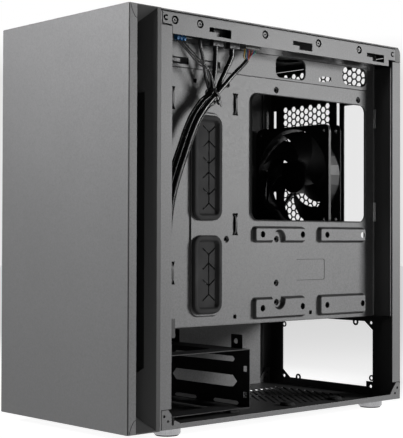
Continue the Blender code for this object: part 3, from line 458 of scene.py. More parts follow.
FRAME_GREY = (0.2, 0.2, 0.203)
FRAME_GRAIN = {"grain": 0.2, "scale": 560}
RECIPES = {  # how each is made, its colour, its roughness and the rest
    # Painted shade: the tray, frame and floor paints are darkened on faces that look to the front, back, top
    # or bottom, and the door paint on its side edges
    "tray_paint": (
        powder_coat, (0.215, 0.215, 0.218), 0.48, {"grain": 0.24, "scale": 560, "shade": painted_shade_by_facing(0.05, 1.0)},
    ),
    "door_paint": (
        powder_coat, (0.21, 0.21, 0.213), 0.36,
        {
            "grain": 0.12, "mottle": 0.02, "metallic": 0.3, "scale": 640, "rise": 0.12,
            "shade": painted_shade_by_facing(1.0, 0.02, (0.1, 0.5)),
        },
    ),
    # Painted shade: the left panel's inner face is painted black
    "left_panel_paint": (powder_coat, FRAME_GREY, 0.66, {"grain": 0.1, "shade": painted_shade_inner_face}),
    # Painted highlight: the tray's tabs, painted light grey as if brightly lit
    "tab_highlight_paint": (powder_coat, (0.55, 0.55, 0.55), 0.5, {"grain": 0.12}),
    # Painted shade: the rear panel's inner faces are painted black
    "rear_paint": (powder_coat, (0.21, 0.21, 0.213), 0.46, {"shade": painted_shade_inside}),
    "frame_paint": (powder_coat, FRAME_GREY, 0.46, {**FRAME_GRAIN, "shade": painted_shade_by_facing(0.06, 1.0)}),
    "floor_paint": (powder_coat, FRAME_GREY, 0.46, {**FRAME_GRAIN, "shade": painted_shade_by_facing(0.22, 1.0)}),
    "interior_paint": (powder_coat, (0.022, 0.022, 0.023), 0.5, {"grain": 0.2}),
    "bezel_plastic": (bezel_moulding, (1, 1, 1.01), 0.45, {}),
    "black_plastic": (moulded, (0.02, 0.02, 0.021), 0.42, {}),
    "cable_sheath": (moulded, (0.006, 0.006, 0.0065), 0.27, {"scale": 2600, "rise": 0.1}),
    "rubber": (moulded, (0.009, 0.009, 0.0095), 0.8, {"scale": 2200, "rise": 0.25}),
    "white_plastic": (moulded, (0.42, 0.415, 0.4), 0.4, {"vary": 0.05}),
    "blue_plastic": (moulded, (0.03, 0.36, 0.85), 0.4, {}),
    "circuit_board": (moulded, (0.008, 0.022, 0.016), 0.35, {"scale": 700, "rise": 0.3}),
    "foam": (woven, (0.008, 0.008, 0.0085), 0.95, {"pitch": 0.0011, "rise": 0.9, "sheen": 0.03}),
    "filter_cloth": (woven, (0.03, 0.03, 0.031), 0.85, {"pitch": 0.0007}),
    "chrome": (plated, (0.36, 0.36, 0.37), 0.22, {}),
    "zinc": (plated, (0.26, 0.26, 0.265), 0.42, {"stretch": (500, 500, 500), "rise": 0.05}),
    "port_metal": (plated, (0.055, 0.055, 0.056), 0.5, {"stretch": (400, 400, 400), "rise": 0.05}),
    "studio_floor": (pale_floor, (0.5, 0.5, 0.5, 1), 0.9, {}),
}
for word, colour, _ in WIRES:
    RECIPES[f"wire_{word}"] = (moulded, colour, 0.35, {"scale": 3000, "rise": 0.05})
MADE = {}


def material(name):
    if name not in MADE:
        make, colour, roughness, rest = RECIPES[name]
        MADE[name] = bpy.data.materials.new(name)
        MADE[name].use_nodes = True
        tree = MADE[name].node_tree
        feed(tree, tree.nodes["Principled BSDF"], make(tree, colour, roughness, **rest))
    return MADE[name]


# ---- mesh helpers


def mesh_object(name, solid, finish, body, smooth=30):
    mesh = bpy.data.meshes.new(name)
    solid.to_mesh(mesh)
    solid.free()
    mesh.shade_smooth()
    mesh.set_sharp_from_angle(angle=math.radians(smooth))
    mesh.materials.append(material(finish))
    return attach(in_scene(name, mesh), body)


def bridge(solid, rings):
    """Joins each ring of vertices to the next."""
    for a, b in zip(rings, rings[1:]):
        for i in range(len(a)):
            solid.faces.new(list(dict.fromkeys((a[i], a[i - 1], b[i - 1], b[i]))))


def weighted(piece):
    piece.modifiers.new("shading", "WEIGHTED_NORMAL").keep_sharp = True
    return piece


def bevel(piece, width):
    edge = piece.modifiers.new("edges", "BEVEL")
    edge.width = width
    edge.segments = 2
    edge.limit_method = "ANGLE"
    edge.angle_limit = math.radians(30)
    edge.harden_normals = False
    return weighted(piece)


def detail(name, solid, finish, node, smooth=30):
    """A piece that adds to a node's own shape, on that node's body."""
    piece = mesh_object(name, solid, finish, BODY_OF[node], smooth)
    return piece


def stand_in(name, solid, finish, node, smooth=30):
    """A piece that replaces a node."""
    piece = detail(name, solid, finish, node, smooth)
    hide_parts(node)
    return weighted(piece)


def box(solid, size, centre):
    made = bmesh.ops.create_cube(solid, size=1)["verts"]
    bmesh.ops.scale(solid, vec=size, verts=made)
    bmesh.ops.translate(solid, vec=centre, verts=made)


def arc(centre, radius, start, end, steps):
    angles = [math.radians(start + (end - start) * i / steps) for i in range(steps + 1)]
    return [(centre[0] + radius * math.cos(a), centre[1] + radius * math.sin(a)) for a in angles]


def circle(centre, radius, sides=20):
    return arc(centre, radius, 0, 360, sides)[:-1]


def rectangle(left, low, right, high):
    return [(left, low), (right, low), (right, high), (left, high)]


def rounded(left, low, right, high, radius, steps=6):
    near, far, under, over = left + radius, right - radius, low + radius, high - radius
    centres = [(far, over), (near, over), (near, under), (far, under)]
    return [p for i, c in enumerate(centres) for p in arc(c, radius, 90 * i, 90 * i + 90, steps)]


def inset(loop, by):
    """An anticlockwise loop moved inwards by a distance, or outwards where it is negative."""
    points = [Vector(p) for p in loop]
    moved = []
    for before, here, after in zip(points[-1:] + points[:-1], points, points[1:] + points[:1]):
        a, b = (here - before).normalized(), (after - here).normalized()
        normal = Vector((-a.y - b.y, a.x + b.x))
        if normal.length < 1e-9:
            moved.append(tuple(here))
            continue
        normal.normalize()
        share = max(0.5, normal.dot(Vector((-a.y, a.x))))
        moved.append(tuple(here + normal * by / share))
    return moved


def inside(points, loop):
    """Which of the points lie inside the loop."""
    x, y = points[:, 0, None], points[:, 1, None]
    a = np.array(loop)
    b = np.roll(a, -1, axis=0)
    crosses = (a[:, 1] > y) != (b[:, 1] > y)
    rise = np.where(a[:, 1] == b[:, 1], 1.0, b[:, 1] - a[:, 1])
    return (crosses & (x < a[:, 0] + (y - a[:, 1]) * (b[:, 0] - a[:, 0]) / rise)).sum(axis=1) % 2 == 1


def depth_in(points, loop):
    """How far inside the loop each point lies, and 0 outside."""
    a = np.array(loop)
    b = np.roll(a, -1, axis=0)
    along = b - a
    to = points[:, None, :] - a
    share = np.clip((to * along).sum(axis=2) / np.maximum((along**2).sum(axis=1), 1e-18), 0, 1)
    away = np.linalg.norm(to - share[..., None] * along, axis=2).min(axis=1)
    return np.where(inside(points, loop), away, 0.0)


def press(loop, rise, width, curve="soft", steps=4):
    """Metal pressed out of the sheet's plane within a loop; its wall takes up the given width."""
    return {"loop": loop, "rise": rise, "width": width, "curve": curve, "steps": steps}


def lip(loop, drop, width):
    """A hole whose edge is rolled in: the metal bends over before it ends at the loop."""
    return press(inset(loop, -width), -drop, width, "lip", 5)


def folded(corners, lift, outward, radius=0.0012):
    """A bent sheet's profile. The corners are the sharp ones; distances along the sheet run through them."""
    corners = [Vector(c) for c in corners]
    lengths = [(b - a).length for a, b in zip(corners, corners[1:])]
    starts = [sum(lengths[:i]) for i in range(len(lengths))]
    along = [(b - a).normalized() for a, b in zip(corners, corners[1:])]
    normals = [Vector((d.y, -d.x)) * outward for d in along]

    def at(s):
        i = max(k for k in range(len(starts)) if s >= starts[k] - 1e-12 or k == 0)
        run = s - starts[i]
        if i + 1 < len(starts) and run > lengths[i] - radius:
            bend, turned = i, (run - lengths[i] + radius) / (2 * radius)
        elif i and run < radius:
            bend, turned = i - 1, (run + radius) / (2 * radius)
        else:
            return corners[i] + along[i] * run, normals[i]
        angle = turned * math.pi / 2
        begin = corners[bend + 1] - along[bend] * radius
        n, d = normals[bend], along[bend]
        if n.dot(along[bend + 1]) < 0:
            normal = n * math.cos(angle) + d * math.sin(angle)
            return begin - n * radius + normal * radius, normal
        normal = n * math.cos(angle) - d * math.sin(angle)
        return begin + n * radius - normal * radius, normal

    bends = [[s + radius * (2 * i / 4 - 1) for i in range(5)] for s in starts[1:]]
    return {"at": at, "lift": lift, "bends": bends, "starts": starts, "length": sum(lengths)}


def pressed_sheet(profile, outline, holes=(), presses=(), lines=(), thickness=SHEET):
    """A closed solid of sheet metal. The outline and everything in it are in (along the profile, across)."""
    points, edges = [], []

    def draw(loop, closed=True):
        first = len(points)
        points.extend(Vector(p) for p in loop)
        count = len(loop)
        edges.extend((first + i, first + (i + 1) % count) for i in range(count if closed else count - 1))

    for loop in (outline, *holes):
        draw(loop)
    for item in presses:
        for i in range(item["steps"] + 1):
            draw(inset(item["loop"], item["width"] * i / item["steps"] + (1e-5 if i else 0)))
    for line in lines:
        draw(line, closed=False)
    flat, _, triangles, *_ = delaunay_2d_cdt(points, edges, [], 0, 1e-6)
    flat = np.array([(p.x, p.y) for p in flat])
    faces = np.array(triangles)
    middles = flat[faces].mean(axis=1)
    keep = inside(middles, outline)
    for loop in holes:
        keep &= ~inside(middles, loop)
    faces = faces[keep]

    height = np.zeros(len(flat))
    for item in presses:
        share = np.clip(depth_in(flat, item["loop"]) / item["width"], 0, 1)
        bent = share**2 * (3 - 2 * share) if item["curve"] == "soft" else share**3
        height += item["rise"] * bent

    solid = bmesh.new()
    outer, inner = [], []
    for (s, across), rise in zip(flat, height):
        spot, normal = profile["at"](s)
        outer.append(solid.verts.new(profile["lift"](spot + normal * rise, across)))
        inner.append(solid.verts.new(profile["lift"](spot + normal * (rise - thickness), across)))
    a, b, c = (outer[i].co for i in faces[0])
    away = (outer[faces[0][0]].co - inner[faces[0][0]].co).dot((b - a).cross(c - a)) > 0
    faces = faces if away else faces[:, ::-1]
    sides = {}
    for face in faces:
        solid.faces.new([outer[i] for i in face])
        solid.faces.new([inner[i] for i in face[::-1]])
        for i in range(3):
            sides[(face[i], face[(i + 1) % 3])] = True
    for i, j in sides:
        if (j, i) not in sides:
            solid.faces.new((outer[j], outer[i], inner[i], inner[j]))
    bmesh.ops.delete(solid, geom=[v for v in solid.verts if not v.link_faces], context="VERTS")
    return solid


# ---- motherboard tray

DRIVE_PADS = [  # left, low, right, high, side of the notch, height of the holes
    (-0.017, 0.1865, 0.0626, 0.204, "low", 0.1953),
    (0.0825, 0.1865, 0.161, 0.204, None, 0.1953),
    (-0.017, 0.107, 0.0626, 0.13, "high", 0.1186),
    (0.0825, 0.107, 0.161, 0.13, None, 0.1186),
]
STAND_OFFS = [(0.0189, 0.3478), (0.1509, 0.3476), (-0.0522, 0.3476), (-0.053, 0.1901)]
STAND_OFFS += [(0.0195, 0.1904), (0.0193, 0.1442), (0.0197, 0.1239)]
BRIDGES = [(-0.0407, 0.328), (-0.0407, 0.2054), (-0.1262, 0.3283), (-0.1262, 0.157)]
SQUARE_HOLES = [(-0.0964, 0.3474), (-0.0408, 0.1112), (0.0724, 0.1112)]
CPU_CUTOUT = rounded(-0.019, 0.2105, 0.1602, 0.3412, 0.0085, 8)
WINDOW = rounded(0.018, 0.3622, 0.0625, 0.383, 0.0062, 6)
REAR_WINDOW = rounded(0.124, 0.3636, 0.164, 0.3836, 0.0085, 5)
KNOCK_OUT = rounded(0.0492, 0.1462, 0.095, 0.169, 0.0022, 4)
HOOK_HOLE = [(0.0846, 0.3628), (0.0955, 0.3628), (0.0955, 0.3642), (0.1046, 0.3642), (0.1046, 0.369)]
HOOK_HOLE += [(0.09, 0.369), (0.09, 0.3672), (0.0846, 0.3672)]
TABBED_HOLES = (-0.13, -0.087)
TABBED_HOLE, TAB_IN_IT = (0, 0.3622, 0.024, 0.369), (0, 0.364, 0.013, 0.3676)
RETURN_SLOTS = ((0.316, 0.338), (0.211, 0.232))
STEP_LOW, STEP_HIGH = 0.3585, 0.3845
FOLD_RADIUS = 0.0016
CHANNEL = rounded(-0.1035, 0.1125, -0.0615, 0.3172, 0.0105, 7)
CHANNEL_RISE = 0.0016
PAD_RISE, PAD_WALL, PAD_HOLE_RADIUS = 0.0046, 0.0027, 0.0034
STAND_OFF_RADIUS, STAND_OFF_HOLE_RADIUS = 0.0036, 0.002
GROMMET_EDGE = 0.005  # how far a grommet reaches over its hole


def pad_outline(left, low, right, high, notch):
    """A drive pad; a notch leaves room for the stand-off at its edge."""
    middle, half, radius = 0.0196, 0.0068, 0.004
    points = arc((right - radius, high - radius), radius, 0, 90, 5)
    if notch == "high":
        points += [(middle + half, high), *arc((middle, high - 0.0042), half, 360, 180, 14)]
        points.append((middle - half, high))
    points += arc((left + radius, high - radius), radius, 90, 180, 5)
    points += arc((left + radius, low + radius), radius, 180, 270, 5)
    if notch == "low":
        points += [(middle - half, low), *arc((middle, low + 0.0048), half, 180, 0, 14)]
        points.append((middle + half, low))
    points += arc((right - radius, low + radius), radius, 270, 360, 5)
    return points


def tray():
    fold_y, origin = TRAY_HIGH.y, TRAY_LOW.y
    corners = [(TRAY_FACE, origin), (TRAY_FACE, fold_y), (TRAY_HIGH.x, fold_y)]
    profile = folded(corners, lambda p, z: (p.x, p.y, z), 1, FOLD_RADIUS)
    low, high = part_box("power_supply_shroud")[1].z, TRAY_HIGH.z
    top_of_return = RAIL_Z - 0.001
    fold, end = profile["starts"][1], profile["length"]

    def shifted(loop):
        return [(y - origin, z) for y, z in loop]

    holes = [CPU_CUTOUT, WINDOW, REAR_WINDOW, HOOK_HOLE]
    for start in TABBED_HOLES:
        tabbed = rectangle(*TABBED_HOLE) + rectangle(*TAB_IN_IT)[::-1]
        holes.append([(start + y, z) for y, z in tabbed])
    presses = [
        lip(CPU_CUTOUT, -0.0024, 0.002),
        lip(WINDOW, 0.0016, 0.0014),
        lip(REAR_WINDOW, 0.0016, 0.0014),
        press(CHANNEL, CHANNEL_RISE, 0.0014),
        press(KNOCK_OUT, -0.0005, 0.0005, steps=2),
    ]
    for *pad, hole_z in DRIVE_PADS:
        presses.append(press(pad_outline(*pad), PAD_RISE, PAD_WALL))
        holes += [circle((y, hole_z), PAD_HOLE_RADIUS, 18) for y in (pad[0] + 0.012, pad[2] - 0.0072)]
    for y, z in STAND_OFFS:
        presses.append(press(circle((y, z), STAND_OFF_RADIUS, 18), -0.0018, 0.0014, steps=3))
        holes.append(circle((y, z), STAND_OFF_HOLE_RADIUS, 14))
    for node in GROMMETS:
        near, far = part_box(node)
        e = GROMMET_EDGE
        holes.append(rounded(near.y + e, near.z + e, far.y - e, far.z - e, e, 4))
    for y, z in SQUARE_HOLES:
        holes.append(rectangle(y - 0.0021, z - 0.0021, y + 0.0021, z + 0.0021))
    for y, z in BRIDGES:
        w, t, h = 0.004, 0.0028, 0.0112
        half = [(-w, -h), (w, -h), (t, -h + 0.004), (t, h - 0.004)]
        holes.append([(y + a * turn, z + b * turn) for turn in (1, -1) for a, b in half])
    holes = [shifted(h) for h in holes]
    for low_z, high_z in RETURN_SLOTS:
        holes.append(rectangle(fold + FOLD_RADIUS, low_z, fold + FOLD_RADIUS + 0.0016, high_z))
    for item in presses:
        item["loop"] = shifted(item["loop"])
    # The strip under the roof stands out by a step.
    strip = rectangle(0.0004, STEP_LOW, fold - 0.006, STEP_HIGH)
    presses.append(press(strip, 0.0009, 0.0009, steps=2))
    outline = [(0, low), (end, low), (end, top_of_return)]
    outline += [(fold + FOLD_RADIUS, top_of_return), (fold - FOLD_RADIUS, high), (0, high)]
    bends = profile["bends"][0]
    lines = [[(s, low), (s, top_of_return if s > fold else high - 0.0004)] for s in bends]
    sheet = pressed_sheet(profile, outline, holes, presses, lines)
    stand_in("tray_sheet", sheet, "tray_paint", "motherboard_tray")
    tray_straps()


TAB_SIZE, TAB_HEIGHTS = (0.0036, 0.0012, 0.0215), (0.2216, 0.328)
STRIP_SIZE, STRIP_CENTRE = (0.0008, 0.033, 0.012), (OUTER_X - 0.013, 0.15, 0.3935)


def slab(name, size, centre, finish, node):
    solid = bmesh.new()
    box(solid, size, centre)
    bevel(detail(name, solid, finish, node), 0.0002)


def return_tabs():
    """Two upright tabs lanced out of the tray's rear fold, painted light grey as a painted highlight, and a
    near-black strip behind the last hook of the rail that stands in for the shade there (painted shade).
    """
    for i, z in enumerate(TAB_HEIGHTS):
        centre = (TRAY_FACE + 0.0024, TRAY_HIGH.y - 0.0012, z)
        slab(f"tray_tab_{i + 1}", TAB_SIZE, centre, "tab_highlight_paint", "motherboard_tray")
    # Painted shade: a near-black strip where there is only shade behind the hook
    slab("rail_hook_shade_sheet", STRIP_SIZE, STRIP_CENTRE, "interior_paint", "drive_cage")


def door_seams():
    """The curved joints at the corners of the door's side band, and the dark lines beside band and bezel."""
    low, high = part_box("door_frame")
    depth = high.y - low.y
    door = BODY_OF["door_frame"]

    def seam(name, points, radius, body):
        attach(tube(name, points, radius, "black_plastic", 2), body)

    for word, edge, up in (("top", high.z, -1), ("bottom", low.z, 1)):
        ys = (low.y + 0.001, low.y + depth * 0.35, low.y + depth * 0.68, high.y - 0.0004)
        route = [(high.x, y, edge + up * z) for y, z in zip(ys, (0.0006, 0.007, 0.012, 0.0136))]
        seam(f"door_seam_{word}", smooth_route(route, 0.001), 0.0003, door)
    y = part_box("door_skin")[1].y + 0.0002
    seam("door_joint", [(high.x - 0.0004, y, z) for z in (low.z + 0.001, high.z - 0.001)], 0.0006, door)
    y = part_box("front_bezel")[1].y + 0.0004
    seam("bezel_joint", [(OUTER_X + 0.0001, y, z) for z in (low.z + 0.004, high.z - 0.012)], 0.0006, CHASSIS)


def tray_straps():
    """The lanced strip of each cable tie bridge, arched out of its hole, painted near black as painted shade.
    """
    for i, (y, z) in enumerate(BRIDGES):
        half, reach = 0.0012, 0.0078
        solid = bmesh.new()
        rows = []
        for step in range(13):
            t = step / 6 - 1
            out = TRAY_FACE - 0.0004 + 0.0026 * (1 - t**4)
            row = []
            for thick in (0, -SHEET):
                for side in (-half, half):
                    row.append(solid.verts.new((out + thick, y + side, z + reach * 1.25 * t)))
            rows.append(row)
        for a, b in zip(rows, rows[1:]):
            for p, q in ((0, 1), (1, 3), (3, 2), (2, 0)):
                solid.faces.new((a[p], a[q], b[q], b[p]))
        solid.faces.new([rows[0][k] for k in (0, 2, 3, 1)])
        solid.faces.new([rows[-1][k] for k in (0, 1, 3, 2)])
        bmesh.ops.recalc_face_normals(solid, faces=solid.faces)
        detail(f"tie_bridge_{i + 1}", solid, "interior_paint", "motherboard_tray")


# ---- roof and rear panel

EYELETS = (-0.145, -0.1128, -0.0235, 0.0566, 0.1225)
EYELET_Z = 0.3985
EYELET_RINGS = (  # radius, distance behind the rail's face
    (0.0041, 0.0045), (0.0027, 0.001), (0.0024, 0.0005), (0.001, 0.0006), (0.0008, 0.0035),
)


def eyelets():
    """The drawn metal inside each rail hole: a dished disc with a pin hole, set just behind the face."""
    for side in (-1, 1):
        for i, y in enumerate(EYELETS):
            solid = bmesh.new()
            rings = []
            for radius, back in EYELET_RINGS:
                x = side * (OUTER_X - back)
                rings.append([solid.verts.new((x, y + a, z)) for a, z in circle((0, EYELET_Z), radius, 20)])
            bridge(solid, rings)
            if side > 0:
                bmesh.ops.reverse_faces(solid, faces=solid.faces)
            word = "right" if side > 0 else "left"
            detail(f"{word}_rail_eyelet_{i + 1}", solid, "frame_paint", "roof_panel", 50)


EYELET_HOLE_RADIUS = 0.0043
CRESCENTS = ((0.3997, -0.1562), (0.3995, 0.18))
HOOKS = (-0.1007, 0.0172, 0.1355)
HOOK = [(0.3925, 0), (0.3925, 0.0095), (0.3885, 0.0095), (0.3885, 0.0294), (0.397, 0.0294), (0.397, 0)]
# A fine gap marks the tab at the front end of each rail.
GAP = [(0.405, -0.1612), (0.394, -0.1612), (0.3922, -0.1596), (0.3922, -0.149), (0.394, -0.149)]
GAP += [(0.394, -0.1586), (0.395, -0.16), (0.405, -0.16)]
RAIL_STEP_Z = 0.3928
RAIL_FRONT, RAIL_REAR = -0.1478, 0.173


def roof():
    corners = [(-OUTER_X, RAIL_Z), (-OUTER_X, ROOF_Z), (OUTER_X, ROOF_Z), (OUTER_X, RAIL_Z)]
    profile = folded(corners, lambda p, y: (p.x, y, p.y), -1)
    side = ROOF_Z - RAIL_Z
    width = profile["length"]
    front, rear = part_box("roof_panel")[0].y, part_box("roof_panel")[1].y
    step = RAIL_STEP_Z - RAIL_Z
    outline = [
        (step, front), (width - step, front), (width - step, RAIL_FRONT), (width, RAIL_FRONT),
        (width, RAIL_REAR), (width - step, RAIL_REAR), (width - step, rear), (step, rear),
        (step, RAIL_REAR), (0, RAIL_REAR), (0, RAIL_FRONT), (step, RAIL_FRONT),
    ]
    holes = []

    def on_both_rails(loop):
        """A loop given in (height, y), on the left rail and on the right one."""
        left = [(z - RAIL_Z, y) for z, y in loop]
        return [left, [(width - s, y) for s, y in left[::-1]]]

    for y in EYELETS:
        holes += on_both_rails(circle((EYELET_Z, y), EYELET_HOLE_RADIUS, 24))
    for z, y in CRESCENTS:
        holes += on_both_rails(arc((z, y), 0.003, 130, 410, 16) + arc((z, y), 0.0013, 410, 130, 12))
    for start in HOOKS:
        holes += on_both_rails([(z, start + y) for z, y in HOOK])
    holes += on_both_rails(GAP)
    low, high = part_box("io_panel")
    grow, zero = 0.001, side + OUTER_X
    holes.append(rectangle(zero + low.x - grow, low.y - grow, zero + high.x + grow, high.y + grow))
    middle = width / 2
    vents = [rounded(middle - 0.05, y, middle + 0.05, y + 0.118, 0.02) for y in (-0.085, 0.045)]
    holes += vents
    presses = [lip(v, 0.002, 0.0018) for v in vents]
    lines = [[(s, front), (s, rear)] for bend in profile["bends"] for s in bend]
    sheet = pressed_sheet(profile, outline, holes, presses, lines)
    stand_in("roof_sheet", sheet, "frame_paint", "roof_panel")


VENT_LEFT, VENT_COLUMNS, VENT_COLUMN_PITCH = -0.077, 11, 0.007
VENT_LOW, VENT_HIGH = 0.21, 0.3965
WIDE_VENT_LOW, WIDE_VENT_COLUMNS = 0.37, 20
PLAIN_BAND_LOW = 0.3545
HEX_RADIUS = 0.0037


def hexagons():
    """The rear vent: staggered columns of holes; the top rows reach over the input and output opening."""
    row_pitch = VENT_COLUMN_PITCH * 2 / math.sqrt(3)
    made = []
    for column in range(WIDE_VENT_COLUMNS):
        x = VENT_LEFT + VENT_COLUMN_PITCH * column
        z = VENT_LOW + HEX_RADIUS + (row_pitch / 2 if column % 2 else 0)
        while z < VENT_HIGH - HEX_RADIUS:
            if z > WIDE_VENT_LOW or (column < VENT_COLUMNS and z < PLAIN_BAND_LOW):
                made.append(arc((x, z), HEX_RADIUS, 0, 300, 5))
            z += row_pitch
    return made


def power_supply_opening(centre):
    w, h = 0.072, 0.03775
    half = [(-w, -h + 0.0095), (-w + 0.012, -h), (-0.0503, -h)]
    half += arc((-0.0461, -0.0364), 0.0042, 180, 0, 8)
    half += [(-0.0419, -h), (w - 0.0096, -h), (w - 0.0096, -h + 0.0062), (w, -h + 0.0062)]
    return [(centre.x + x * turn, centre.y + z * turn) for turn in (1, -1) for x, z in half]


SUPPLY_CENTRE = (-0.0085, 0.05725)
SUPPLY_SCREWS = [(-0.0697, -0.0364), (-0.0461, -0.0362), (0.0692, -0.0372)]


def screw_rims():
    """Round eyes that reach into the power supply opening, one round each screw hole, painted near black as
    painted shade, like the rear panel's inner faces.
    """
    solid = bmesh.new()
    face, inner_face = REAR_Y + 0.0001, REAR_Y - SHEET - 0.0001
    for x, z in [*SUPPLY_SCREWS, (0.0701, -0.0275)]:
        for turn in (1, -1):
            centre = Vector((SUPPLY_CENTRE[0] + x * turn, 0, SUPPLY_CENTRE[1] + z * turn))
            ring = [(0.0019, inner_face), (0.0035, inner_face), (0.0035, face), (0.0019, face)]
            lathe(solid, centre, [*ring, ring[0]], 24)
    bmesh.ops.remove_doubles(solid, verts=solid.verts, dist=1e-6)
    bmesh.ops.recalc_face_normals(solid, faces=solid.faces)
    detail("power_supply_screw_rims", solid, "interior_paint", "rear_panel")


FAN_X, FAN_SLOT_APART = -0.0425, 0.0525
FAN_SLOTS = ((0.209, 0.041), (0.314, 0.0425))  # lower end and length
TOP_SLOT_Z, SLOT_PITCH = 0.1765, 0.02032
SLOT_FIELD = rounded(-0.052, 0.104, 0.07, 0.187, 0.003, 3)
IO_OPENING = rounded(0.0207, 0.1899, 0.0652, 0.3487, 0.0008, 2)


def rear():
    low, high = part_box("rear_panel")
    corners = [(-OUTER_X, low.y), (-OUTER_X, REAR_Y), (OUTER_X, REAR_Y), (OUTER_X, low.y)]
    profile = folded(corners, lambda p, z: (p.x, p.y, z), -1)
    depth, width = REAR_Y - low.y, profile["length"]
    shift = depth + OUTER_X

    def shifted(loop):
        return [(x + shift, z) for x, z in loop]

    centre = Vector(SUPPLY_CENTRE)
    places = [(centre.x + x * turn, centre.y + z * turn) for x, z in SUPPLY_SCREWS for turn in (1, -1)]
    screws = [circle(p, 0.0019, 12) for p in places]
    fan_slots = [
        rounded(FAN_X + side - 0.0022, start, FAN_X + side + 0.0022, start + length, 0.0021, 4)
        for side in (-FAN_SLOT_APART, FAN_SLOT_APART)
        for start, length in FAN_SLOTS
    ]
    heights = [TOP_SLOT_Z - SLOT_PITCH * i for i in range(4)]
    covers = [rectangle(-0.047, z - 0.0072, 0.062, z + 0.0072) for z in heights]
    supply = power_supply_opening(centre)
    holes = [shifted(h) for h in (*hexagons(), *fan_slots, *covers, IO_OPENING, supply, *screws)]
    presses = [press(shifted(inset(IO_OPENING, -0.004)), -0.0012, 0.0012, steps=2)]
    presses.append(press(shifted(SLOT_FIELD), -0.0008, 0.001, steps=2))
    notch, shoulder = 0.0296, 0.3908
    inner = depth + OUTER_X - 0.0985
    outline = [
        (0, notch), (depth - 0.0012, notch), (depth - 0.0012, low.z - 0.0011),
        (width - depth + 0.0012, low.z - 0.0011), (width - depth + 0.0012, notch), (width, notch),
        (width, shoulder), (width - inner, shoulder), (width - inner, high.z), (inner, high.z),
        (inner, shoulder), (0, shoulder),
    ]
    lines = [[(s, notch), (s, shoulder)] for bend in profile["bends"] for s in bend]
    sheet = pressed_sheet(profile, outline, holes, presses, lines)
    stand_in("rear_sheet", sheet, "rear_paint", "rear_panel")


# ---- grommets


def grommets():
    """Rubber frames with a thin membrane, slit down the middle and out to both sides."""
    seat = TRAY_FACE + CHANNEL_RISE
    rings = [  # inset from the outer edge, height over the seat
        (0.0000, -0.0008), (0.0000, 0.0022), (0.0006, 0.0034), (0.0016, 0.004), (0.004, 0.004),
        (0.005, 0.0034), (0.0056, 0.002), (0.0064, 0.0006), (0.0074, 0.0004),
    ]
    for node in GROMMETS:
        low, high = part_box(node)

        def ring(by, radius, steps):
            return rounded(low.y + by, low.z + by, high.y - by, high.z - by, radius, steps)

        solid = bmesh.new()
        loops = []
        for by, up in rings:
            loop = ring(by, max(0.01 - by, 0.0025), 7)
            loops.append([solid.verts.new((seat + up, y, z)) for y, z in loop])
        for a, b in zip(loops, loops[1:]):
            count = len(a)
            for i in range(count):
                solid.faces.new((a[i], a[(i + 1) % count], b[(i + 1) % count], b[i]))
        bmesh.ops.recalc_face_normals(solid, faces=solid.faces)
        if sum(f.normal.x * f.calc_area() for f in solid.faces) < 0:
            bmesh.ops.reverse_faces(solid, faces=solid.faces)
        # Painted shade: a near-black sheet set back behind each hole stands in for the shade there
        inner = ring(rings[-1][0], 0.0026, 4)
        shade_sheet = bmesh.new()
        shade_sheet.faces.new([shade_sheet.verts.new((TRAY_FACE - 0.003, y, z)) for y, z in inner])
        detail(node + "_backing", shade_sheet, "interior_paint", node)
        profile = folded([(seat + 0.0004, -0.2), (seat + 0.0004, 0.0)], lambda p, z: (p.x, p.y, z), 1)
        outline, *holes = ([(y + 0.2, z) for y, z in loop] for loop in (inner, *slit_outlines(low, high)))
        membrane = pressed_sheet(profile, outline, holes, thickness=0.001)
        stand_in(node + "_frame", solid, "rubber", node, 50)
        detail(node + "_membrane", membrane, "rubber", node)


def slit_outlines(low, high):
    """One long slit down the middle, with pairs of arms from it that mark out a row of hexagons."""
    middle = (low.y + high.y) / 2 + 0.003
    centre = (low.z + high.z) / 2
    pitch, apart, half = 0.0312, 0.0043, 0.0007
    arm_y, arm_z = 0.0082, 0.0062
    rows = int((high.z - low.z) / pitch)
    tops = [centre + (i - (rows - 1) / 2) * pitch for i in range(rows)]
    made = [bar((middle, tops[0] - apart), (middle, tops[-1] + apart), half)]
    for z in tops:
        for up in (-1, 1):
            foot = (middle, z + up * apart)
            made += [bar(foot, (middle + side * arm_y, foot[1] + up * arm_z), half) for side in (-1, 1)]
    return made


def bar(a, b, half):
    a, b = Vector(a), Vector(b)
    side = (b - a).normalized().orthogonal() * half
    return [tuple(p) for p in (a - side, b - side, b + side, a + side)]


# ---- fans

HUB_RADIUS = 0.0205
BLADE_TIP = 0.0545
BLADES = 7
BLADE_SWEEP, BLADE_WIDTH, BLADE_TAPER = 46, 44, 4  # degrees
FIRST_BLADE = 25


def lathe(solid, centre, profile, sides):
    """Turns a profile of (radius, y) about the axis that runs along Y through the centre."""
    rings = []
    for radius, y in profile:
        if radius == 0:
            rings.append([solid.verts.new((centre.x, y, centre.z))] * sides)
            continue
        around = circle((0, 0), radius, sides)
        rings.append([solid.verts.new((centre.x + a, y, centre.z + b)) for a, b in around])
    bridge(solid, rings)


def rotor(prefix):
    node = prefix + "_fan_rotor"
    low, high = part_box(prefix + "_fan_frame")
    centre = (low + high) / 2
    front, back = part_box(node)[0].y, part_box(node)[1].y
    solid = bmesh.new()
    rim = HUB_RADIUS
    cup = [(0, front), (0.012, front), (0.0126, front + 0.0004), (rim - 0.002, front + 0.0004)]
    cup += [(rim - 0.0006, front + 0.001), (rim, front + 0.0024), (rim, back), (0, back)]
    lathe(solid, centre, cup, 48)
    for i in range(BLADES):
        blade(solid, centre, front + 0.0012, back - 0.0012, FIRST_BLADE + 360 * i / BLADES)
    bmesh.ops.recalc_face_normals(solid, faces=solid.faces)
    stand_in(node + "_moulding", solid, "black_plastic", node, 40)


